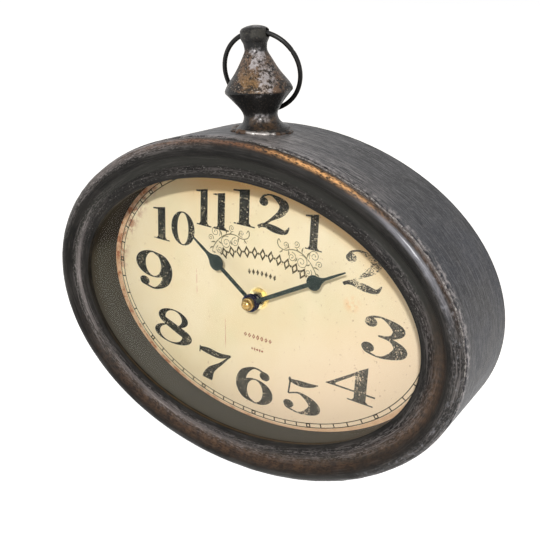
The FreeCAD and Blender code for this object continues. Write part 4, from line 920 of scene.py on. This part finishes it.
# Circuit: a strip of green board with tinned tracks under the varnish, a crystal can and two sprung contacts.
# Contacts and can are nickel-plated, bright with fine rubbing marks.
circuit_green, shader = finish("circuit_green", IOR=1.5, Coat_Weight=0.4, Coat_Roughness=0.25)
spot, x, y, z = place_of(shader)
wander = grain(spot, 160.0, 2.0) * 5.0 + z * 3100.0
tracks = span(calc("SINE", wander), 0.1, 0.4)
colour = blend(span(grain(spot, 500.0), 0.35, 0.65), tint(20, 70, 42), tint(28, 84, 52))
colour = blend(tracks, colour, tint(54, 122, 74))
feed(shader, Base_Color=colour, Roughness=span(tracks, 0.0, 1.0, 0.48, 0.32))
relief(shader, tracks, 0.00003)
dress(circuit_green, "circuit_board")

nickel, shader = finish("nickel", IOR=1.45, Metallic=1.0)
spot, x, y, z = place_of(shader)
rubbed = use(rubbing, Place=spot, Across=y, Long=240.0, Fine=2600.0, From=0.45, To=0.65)
colour = blend(rubbed["Marks"], tint(182, 180, 174), tint(212, 210, 204))
feed(shader, Base_Color=colour, Roughness=span(rubbed["Tone"], 0.3, 0.7, 0.34, 0.2))
relief(shader, rubbed["Tone"], 0.00004)
dress(nickel, "crystal", "contact_negative", "contact_positive")

# Cell: a round cell in a shrunk plastic sleeve, with plated steel ends.
# The sleeve is slate blue with a copper-coloured band at the end that has the nub.
cell_sleeve, shader = finish("cell_sleeve", IOR=1.5, Coat_Weight=0.3, Coat_Roughness=0.15)
spot, x, y, z = place_of(shader)
scuffs = use(rubbing, Place=spot, Across=x, Long=300.0, Fine=1500.0, From=0.56, To=0.70)
colour = blend(span(x, 0.0118, 0.0121), tint(52, 66, 92), tint(176, 112, 66))
ring = window(x, 0.0106, 0.0116, 0.0002)
colour = blend(ring, colour, tint(214, 210, 200))
colour = blend(scuffs["Marks"] * 0.35, colour, tint(196, 192, 186))
ends = most(span(x, 0.0236, 0.0238), span(x, -0.0248, -0.0250))
colour = blend(ends, colour, tint(198, 196, 190))
feed(shader, Base_Color=colour, Metallic=ends, Roughness=span(scuffs["Tone"], 0.3, 0.7, 0.26, 0.42))
relief(shader, scuffs["Tone"], 0.00003)
dress(cell_sleeve, "cell")

# Brass: the washer and nut that clamp the movement's bush to the dial, the minute arbor and the slip spring.
# Turned and left bare; it is pale with brown spots, and the cap nut in front has browned all over.
brass, shader = finish("plain_brass", IOR=1.45, Metallic=0.85, Specular_IOR_Level=0.4)
spot, x, y, z = place_of(shader)
lathe = use(rubbing, Place=spot, Across=y, Long=220.0, Fine=3200.0, From=0.45, To=0.65)
stain = span(grain(spot, 420.0, 4.0, 0.6), 0.56, 0.70)
colour = blend(lathe["Marks"], tint(242, 222, 160), tint(250, 236, 186))
colour = blend(stain * 0.6, colour, tint(176, 132, 70))
worn = span(y, -0.0118, -0.0128) * span(grain(spot, 700.0, 4.0, 0.6), 0.3, 0.6, 0.4, 0.95)
colour = blend(worn, colour, tint(160, 122, 58))
feed(shader, Base_Color=colour, Roughness=span(lathe["Tone"], 0.3, 0.7, 0.36, 0.22))
relief(shader, lathe["Tone"], 0.00004)
dress(brass, "mounting_washer", "mounting_nut", "minute_arbor", "slip_spring")

# Hands: steel stampings in the spade shape, painted green-black, riveted to their collars.
# The hubs have a navy sheen, and a brass cap nut in front holds the minute hand.
hand_paint, shader = finish("hand_paint", IOR=1.45, Specular_IOR_Level=0.22)
spot, x, y, z = place_of(shader)
rise = z - CASE_AXIS
away = slant(x, rise)
colour = blend(span(grain(spot, 160.0, 4.0), 0.35, 0.65), tint(40, 50, 46), tint(60, 70, 64))
flecks = span(grain(spot, 900.0, 4.0, 0.7), 0.62, 0.74)
colour = blend(flecks * 0.4, colour, tint(92, 98, 92))
hub = span(away, 0.0064, 0.0056)
colour = blend(hub, colour, tint(20, 24, 52))
feed(shader, Base_Color=colour, Roughness=span(hub, 0.0, 1.0, 0.5, 0.28))
relief(shader, grain(spot, 800.0), 0.00004)
dress(hand_paint, "hour_hand", "minute_hand")

CAP_BACK = -0.0122
CAP = [[(1.4, 0.0), (4.2, 0.0)], [(4.2, 0.0), (4.2, 2.6)], [(4.2, 2.6), (3.7, 2.9)],
       [(3.7, 2.9), (3.6, 3.6), (3.1, 4.7), (2.1, 5.6), (1.0, 5.93), (0.0, 6.0)]]


def turned_mesh(name, profile, around, place):
    """A profile of radius and rise in millimetres turned about a line along the clock's depth."""
    points = []
    for radius, rise in profile:
        for step in range(around):
            turn = 2 * math.pi * step / around
            points.append(place @ Vector((radius / 1000 * math.cos(turn), rise / 1000, radius / 1000 * math.sin(turn))))
    return closed(name, points, ring_faces(len(profile), around, False))


cap = turned_mesh("hand_cap", [(0.0, 0.0)] + [(r, -h) for r, h in joined(CAP, 5)], 48,
                  Matrix.Translation((0, CAP_BACK, CASE_AXIS)))
piece("hand_cap", cap, brass, body="minute", instead_of=["cap_nut"])

# Back panel: thin sheet steel, painted matt black, with a window for the cell and the setting knob.
# Two pan-head screws with cross slots hold it; the paint is scuffed round them and along the window.
WINDOW_HALF, WINDOW_CORNER, SCREW_OUT = (0.046, 0.042), 0.010, 0.1405
back_paint, shader = finish("back_paint", IOR=1.45, Specular_IOR_Level=0.25)
spot, x, y, z = place_of(shader)
rise = z - CASE_AXIS
near = slant(calc("ABSOLUTE", x) - SCREW_OUT, rise)
cloud = grain(spot, 34.0, 5.0, 0.6)
colour = blend(span(cloud, 0.35, 0.65), tint(30, 30, 31), tint(44, 43, 43))
dust = span(grain(spot, 520.0, 4.0, 0.65), 0.56, 0.70)
colour = blend(dust * 0.3, colour, tint(92, 89, 84))
wiped = use(rubbing, Place=spot, Across=z, Long=16.0, Fine=420.0, From=0.54, To=0.72)["Marks"]
colour = blend(wiped * 0.35, colour, tint(78, 76, 73))
over = [most(calc("ABSOLUTE", way) - (half - WINDOW_CORNER), 0.0) for way, half in zip((x, rise), WINDOW_HALF)]
edge = slant(*over)
handled = most(window(near, 0.0032, 0.0042, 0.0012), span(edge, WINDOW_CORNER + 0.0014, WINDOW_CORNER))
handled = handled * span(grain(spot, 210.0, 6.0, 0.7), 0.44, 0.62)
colour = blend(handled * 0.85, colour, tint(128, 126, 122))
feed(shader, Base_Color=colour, Roughness=span(cloud, 0.3, 0.7, 0.66, 0.52), Metallic=handled * 0.7)
relief(shader, cloud * 1.5 + dust, 0.00006)
dress(back_paint, "back_panel")


def carved(mesh, *tools):
    """A mesh with others cut out of it."""
    whole = bpy.data.objects.new("whole", mesh)
    bpy.context.scene.collection.objects.link(whole)
    cutters = []
    for tool in tools:
        cutters.append(bpy.data.objects.new("cutter", tool))
        bpy.context.scene.collection.objects.link(cutters[-1])
        change = whole.modifiers.new("cut", "BOOLEAN")
        change.object, change.operation, change.solver = cutters[-1], "DIFFERENCE", "EXACT"
    bpy.context.view_layer.update()
    result = bpy.data.meshes.new_from_object(whole.evaluated_get(bpy.context.evaluated_depsgraph_get()))
    for made in (whole, *cutters):
        bpy.data.objects.remove(made)
    return result


SCREW = [(0, 28.05), (1.1, 28.05), (1.45, 28.6), (1.45, 32.8), (3.0, 32.8), (3.0, 33.5), (2.85, 33.95), (2.4, 34.3),
         (1.6, 34.5), (0.8, 34.58), (0, 34.6)]
screw = turned_mesh("panel_screw", SCREW, 40, Matrix())
slots = [solid("slot", [(-a, -b), (a, -b), (a, b), (-a, b)], 33.6, 35.0) for a, b in ((1.9, 0.3), (0.3, 1.9))]
screws = grown(spread_round, carved(screw, *slots), Count=2, Radius=SCREW_OUT, Start=math.pi / 2, Step=math.pi,
               Finish=zinc)
screws.transform(Matrix.Translation((0, 0, CASE_AXIS)))
piece("panel_screw_pair", screws, zinc, instead_of=["panel_screws"])

# Setting knob: black plastic, pressed on the setting gear's arbor, with moulded grips round it.
# Its face is dished, and fingers have rubbed the plastic in patches.
BODY = [(0, 20.3), (4.7, 20.3), (4.95, 20.55), (4.95, 24.2), (4.6, 24.7), (3.9, 24.7), (3.4, 24.3), (1.6, 24.0),
        (0, 23.95)]
knob_place = Matrix.Translation((KNOB[0] / 1000, 0, KNOB[1] / 1000))
piece("setting_knob_body", turned_mesh("setting_knob_body", BODY, 48, knob_place), case_plastic, body="setting",
      instead_of=["setting_knob"])
RIB = [(0, 20.5), (0.42, 20.5), (0.5, 20.7), (0.5, 23.9), (0.3, 24.25), (0, 24.35)]
ribs = grown(spread_round, turned_mesh("setting_knob_rib", RIB, 10, Matrix()), Count=24, Radius=0.00495, Start=0.0,
             Step=math.radians(15), Finish=case_plastic)
ribs.transform(knob_place)
piece("setting_knob_grips", ribs, case_plastic, body="setting")

# Feet: two strips of black rubber glued under the band, a little behind its middle.
# They are cut from the same sheet as the gasket and share its finish.
dress(rubber, "feet")

# Finial: a turned steel knop with a cross hole in its head, brazed to the top of the band.
# It leans a little to the left; the paint has chipped off its cone, and the braze left lumps round its foot. Highlights
# and a sheen on its front and on the braze are painted in.
FINIAL_FOOT, FINIAL_RISE, LEAN = (-0.002, 0.003, 0.219), 0.061, math.radians(-5.8)
# The way across the knop as seen from the front: its chips, and its painted highlights and sheen, are laid out along
# it.
LEAN_SHIFT, WEAR_AND_HIGHLIGHT_WAY = 0.0062, (0.839, 0.545)
stand = Matrix.Translation(FINIAL_FOOT) @ Matrix.Rotation(LEAN, 4, "Y")
BORE_RISE, BORE_RADIUS, BORE_TURN = 0.0562, 0.0028, math.radians(11)
KNOP = [[(17.0, -4.0), (17.0, 1.2)],
        [(17.0, 1.2), (15.4, 2.15), (13.0, 3.57), (11.2, 5.6), (10.4, 8.5), (11.0, 11.0), (13.2, 14.4), (16.9, 18.8),
         (20.6, 22.8)],
        [(20.6, 22.8), (20.6, 24.2)],
        [(20.6, 24.2), (18.5, 28.0), (13.7, 34.2), (9.7, 41.0), (7.5, 44.9), (6.8, 47.2), (7.2, 50.4), (8.2, 52.4),
         (8.7, 53.6)],
        [(8.7, 53.6), (8.7, 58.0)], [(8.7, 58.0), (7.6, 59.2), (5.74, 60.1), (3.0, 60.8), (0.0, 61.1)]]


def band_top(x):
    """Height of the band's outside over a place across the case."""
    return CASE_AXIS + CASE_HALF[1] * math.sqrt(1 - (x / CASE_HALF[0]) ** 2)


KNOP_AROUND = 96
points = []
profile = [(0.0, -4.0), (6.0, -4.0), (12.0, -4.0)] + joined(KNOP, 6)
for radius, height in profile:
    for step in range(KNOP_AROUND):
        turn = 2 * math.pi * step / KNOP_AROUND
        dent = 0.0
        if 2 < height < 59:
            dent = -abs(noise.noise(Vector((math.cos(turn) * 1.6, math.sin(turn) * 1.6, height * 0.11)))) * 0.25
        reach = max(radius + dent, 0.0) / 1000
        at = stand @ Vector((reach * math.cos(turn), reach * math.sin(turn), height / 1000))
        points.append((at.x, at.y, max(at.z, band_top(at.x))))
knop = closed("finial_knop", points, ring_faces(len(profile), KNOP_AROUND, False))
drill = bmesh.new()
bmesh.ops.create_cone(drill, cap_ends=True, segments=32, radius1=BORE_RADIUS, radius2=BORE_RADIUS, depth=0.04,
                      matrix=stand @ Matrix.Translation((0, 0, BORE_RISE)) @ Matrix.Rotation(BORE_TURN, 4, "Z")
                      @ Matrix.Rotation(math.pi / 2, 4, "Y"))
bore = bpy.data.meshes.new("bore")
drill.to_mesh(bore)
drill.free()
knop = carved(knop, bore)

finial_paint, shader = finish("finial_paint", IOR=1.45, Specular_IOR_Level=0.2, Coat_Roughness=0.2)
spot, x, y, z = place_of(shader)
cloud = grain(spot, 70.0, 5.0, 0.6)
chips = grain(spot, 190.0, 6.0, 0.68, 0.6)
flakes = grain(spot, 520.0, 5.0, 0.7)
up = (z - FINIAL_FOOT[2]) * (1 / FINIAL_RISE)
side, depth = up * LEAN_SHIFT + x - FINIAL_FOOT[0], y - FINIAL_FOOT[1]
across = depth * WEAR_AND_HIGHLIGHT_WAY[1] + side * WEAR_AND_HIGHLIGHT_WAY[0]
edge_up = chips * 0.22 + up - 0.11
edge_across = chips * 0.016 + across - 0.008
mixed = flakes * 0.5 + chips * 0.5
colour = blend(span(cloud, 0.35, 0.65), tint(14, 14, 14), tint(30, 29, 29))
head = span(up, 0.84, 0.90)
colour = blend(head * span(chips, 0.42, 0.6), colour, tint(56, 55, 51))
cone = span(up, 0.385, 0.395) * span(edge_up, 0.80, 0.70)
bronze = cone * window(edge_across, -0.009, 0.012, 0.007) * span(mixed, 0.43, 0.57)
colour = blend(bronze * 0.85, colour, tint(116, 92, 74))
golden = (cone * span(edge_up, 0.64, 0.46)
          * most(window(edge_across, -0.0075, -0.001, 0.004), window(edge_across, 0.0025, 0.005, 0.002) * 0.7))
colour = blend(golden * span(mixed, 0.40, 0.60, 0.05, 0.75), colour, tint(148, 114, 70))
speckled = span(grain(spot, 950.0, 4.0, 0.7), 0.56, 0.66) * (cone * 0.5 + 0.1)
colour = blend(speckled, colour, tint(196, 180, 164))
# Painted sheen: a brown-gold gleam on the front of the foot.
sheen = window(up, 0.05, 0.13, 0.04) * window(edge_across, -0.003, 0.008, 0.004)
colour = blend(sheen * span(mixed, 0.40, 0.58, 0.0, 0.7), colour, tint(98, 78, 60))
# Silver strips facing the front on the cone: partly chipped paint, partly painted highlights; the strip on the neck is
# a painted highlight.
high = window(edge_up, 0.66, 0.76, 0.05) * window(edge_across, -0.001, 0.004, 0.003)
low = window(edge_up, 0.42, 0.60, 0.06) * window(edge_across, 0.003, 0.008, 0.003)
neck = window(up, 0.115, 0.16, 0.03) * window(edge_across, -0.001, 0.004, 0.003)
top = span(up, 0.965, 0.995, 0.0, 0.6)
chips_and_highlights = most(high, low, neck * 0.7, top)
silver = chips_and_highlights * span(mixed, 0.44, 0.57)
colour = blend(silver * 0.85, colour, tint(178, 174, 176))
gloss = span(up, 0.45, 0.36) * 0.15 + 0.12
feed(shader, Base_Color=colour, Roughness=span(chips, 0.3, 0.7, 0.36, 0.52), Metallic=silver * 0.5, Coat_Weight=gloss)
relief(shader, flakes * 0.6 + chips, 0.00035)
piece("finial_knop", knop, finial_paint, instead_of=["finial"])

points = []
BRAZE_ROUND = 10
for step in range(KNOP_AROUND):
    turn = 2 * math.pi * step / KNOP_AROUND
    lump = noise.noise(Vector((math.cos(turn) * 3.1, math.sin(turn) * 3.1, 4.0)))
    small = noise.noise(Vector((math.cos(turn) * 9.0, math.sin(turn) * 9.0, 9.0)))
    size = 0.0013 + 0.0009 * max(lump, -0.6) + 0.0005 * small
    for roll_step in range(BRAZE_ROUND):
        roll = 2 * math.pi * roll_step / BRAZE_ROUND
        out = 0.0174 + 0.0005 * lump + size * 1.5 * math.cos(roll)
        x, y = FINIAL_FOOT[0] + out * math.cos(turn), FINIAL_FOOT[1] + out * math.sin(turn)
        points.append((x, y, band_top(x) + 0.0004 + size * math.sin(roll)))
braze = closed("finial_braze", points, ring_faces(KNOP_AROUND, BRAZE_ROUND))
braze_metal, shader = finish("braze_metal", IOR=1.45, Specular_IOR_Level=0.3)
spot, x, y, z = place_of(shader)
chips = grain(spot, 260.0, 5.0, 0.65)
colour = blend(span(chips, 0.42, 0.56), tint(34, 31, 29), tint(92, 72, 58))
side, depth = x - FINIAL_FOOT[0], y - FINIAL_FOOT[1]
across = depth * WEAR_AND_HIGHLIGHT_WAY[1] + side * WEAR_AND_HIGHLIGHT_WAY[0]
front = depth * -WEAR_AND_HIGHLIGHT_WAY[0] + side * WEAR_AND_HIGHLIGHT_WAY[1]
# Painted highlight: a bright silver line along the front lip of the braze.
shine = window(across, -0.008, 0.007, 0.002) * span(front, 0.008, 0.012) * span(chips, 0.34, 0.50, 0.2, 1.0)
colour = blend(shine, colour, tint(190, 184, 180))
feed(shader, Base_Color=colour, Metallic=shine * 0.7, Roughness=span(chips, 0.3, 0.7, 0.28, 0.5))
relief(shader, chips, 0.0004)
piece("finial_braze", braze, braze_metal, crease=60)

# Ring: black steel wire bent round and butted together, threaded through the finial's cross hole.
# It hangs from the hole and leans on the back of the finial; its paint is scraped in places.
RING_RADIUS, WIRE, RING_DROP = 0.0244, 0.0029, 0.0011
RING_SWING, BUTT_TURN = math.radians(17.2), math.radians(62)
hang = (stand @ Matrix.Translation((0, 0, BORE_RISE)) @ Matrix.Rotation(BORE_TURN, 4, "Z")
        @ Matrix.Rotation(RING_SWING, 4, "X") @ Matrix.Translation((0, 0, RING_DROP - RING_RADIUS)))
RING_STEPS, WIRE_STEPS = 144, 14
points = []
for step in range(RING_STEPS):
    turn = 2 * math.pi * step / RING_STEPS
    nick = math.exp(-((turn - BUTT_TURN) / 0.018) ** 2)
    wobble = 1 + 0.006 * noise.noise(Vector((math.cos(turn) * 1.3, math.sin(turn) * 1.3, 2.0)))
    thin = WIRE / 2 * (1 - 0.16 * nick)
    for roll_step in range(WIRE_STEPS):
        roll = 2 * math.pi * roll_step / WIRE_STEPS
        radius = RING_RADIUS * min(wobble, 1.0) + thin * math.cos(roll) - 0.00002
        points.append(hang @ Vector((radius * math.sin(turn), thin * math.sin(roll), radius * math.cos(turn))))
ring = closed("bow_wire", points, ring_faces(RING_STEPS, WIRE_STEPS))
wire_paint, shader = finish("wire_paint", IOR=1.45, Specular_IOR_Level=0.3)
spot = place_of(shader)[0]
scrapes = span(grain(spot, 340.0, 5.0, 0.7), 0.60, 0.72)
colour = blend(scrapes * 0.6, blend(grain(spot, 90.0), tint(10, 10, 10), tint(24, 23, 22)), tint(84, 80, 76))
feed(shader, Base_Color=colour, Roughness=span(grain(spot, 120.0), 0.3, 0.7, 0.26, 0.42), Metallic=scrapes * 0.5)
relief(shader, grain(spot, 240.0), 0.0001)
piece("bow_wire", ring, wire_paint, body="bow", instead_of=["bow_ring"])

# Stage: a pale floor and a white surround, so that the clock stands on white and keeps its shadow.
# One crisp lamp shines from beside the camera, and a soft one fills in from the left.
FLOOR_GLOW, SKY_LIGHT = 0.77, 0.38
stage_white, shader = finish("stage_white", Roughness=0.9, Specular_IOR_Level=0.0, Base_Color=(0.86, 0.86, 0.86, 1))


def looked_at(tree):
    """One for rays from the camera, or by way of a mirror or a pane, which meet plain white; nothing for the rest."""
    rays = add(tree, "ShaderNodeLightPath").outputs
    return most(*(Field(rays[f"Is {kind} Ray"]) for kind in ("Glossy", "Transmission", "Camera")))


bpy.ops.mesh.primitive_plane_add(size=30.0, location=(0, 0, 0))
floor = bpy.context.object
floor.name = "floor"
floor.data.materials.append(stage_white)
tree = stage_white.node_tree
glow = add(tree, "ShaderNodeEmission", Color=(1, 1, 1, 1), Strength=looked_at(tree) * FLOOR_GLOW)
lift = add(tree, "ShaderNodeAddShader", i0=shader.outputs[0], i1=glow.outputs[0])
join(lift.outputs[0], tree.nodes["Material Output"].inputs["Surface"])

world = bpy.data.worlds.new("studio")
bpy.context.scene.world = world
world.use_nodes = True
sky = world.node_tree.nodes["Background"]
seen = looked_at(world.node_tree)
join(blend(seen, (1.0, 0.935, 0.84, 1), (1, 1, 1, 1)), sky.inputs["Color"])
join(seen * (1 - SKY_LIGHT) + SKY_LIGHT, sky.inputs["Strength"])


def lamp(name, toward, distance, size, watts):
    """An area lamp at a distance from the dial, facing it."""
    light = bpy.data.lights.new(name, "AREA")
    light.size, light.energy = size, watts
    made = bpy.data.objects.new(name, light)
    bpy.context.scene.collection.objects.link(made)
    toward = Vector(toward).normalized()
    made.location = Vector((0, 0, CASE_AXIS)) + toward * distance
    made.rotation_euler = toward.to_track_quat("Z", "Y").to_euler()


lamp("key", (0.50, -1.0, 0.60), 1.6, 0.07, 16.5)
lamp("fill", (-1.0, -0.6, 0.9), 1.8, 1.2, 2.0)

scene = bpy.context.scene
scene.view_settings.view_transform = "Standard"
SENSOR, FOCAL_PIXELS, PHOTO_PIXELS = 36.0, 780.5, 540
VIEW_POINT, VIEW_ANGLES = (0.26245, -0.39325, 0.30112), (32.98, 19.98, -0.754)
view = bpy.data.cameras.new("photo_view")
view.sensor_width = SENSOR
view.lens = SENSOR * FOCAL_PIXELS / PHOTO_PIXELS
camera = bpy.data.objects.new("photo_view", view)
scene.collection.objects.link(camera)
azimuth, elevation, roll = (math.radians(angle) for angle in VIEW_ANGLES)
flat_way = math.cos(elevation)
back = Vector((math.sin(azimuth) * flat_way, -math.cos(azimuth) * flat_way, math.sin(elevation)))
level = Vector((math.cos(azimuth), math.sin(azimuth), 0))
lift = back.cross(level)
right = math.cos(roll) * level - math.sin(roll) * lift
up = math.sin(roll) * level + math.cos(roll) * lift
faced = Matrix((right, up, back)).transposed().to_4x4()
camera.matrix_world = Matrix.Translation(VIEW_POINT) @ faced
scene.camera = camera
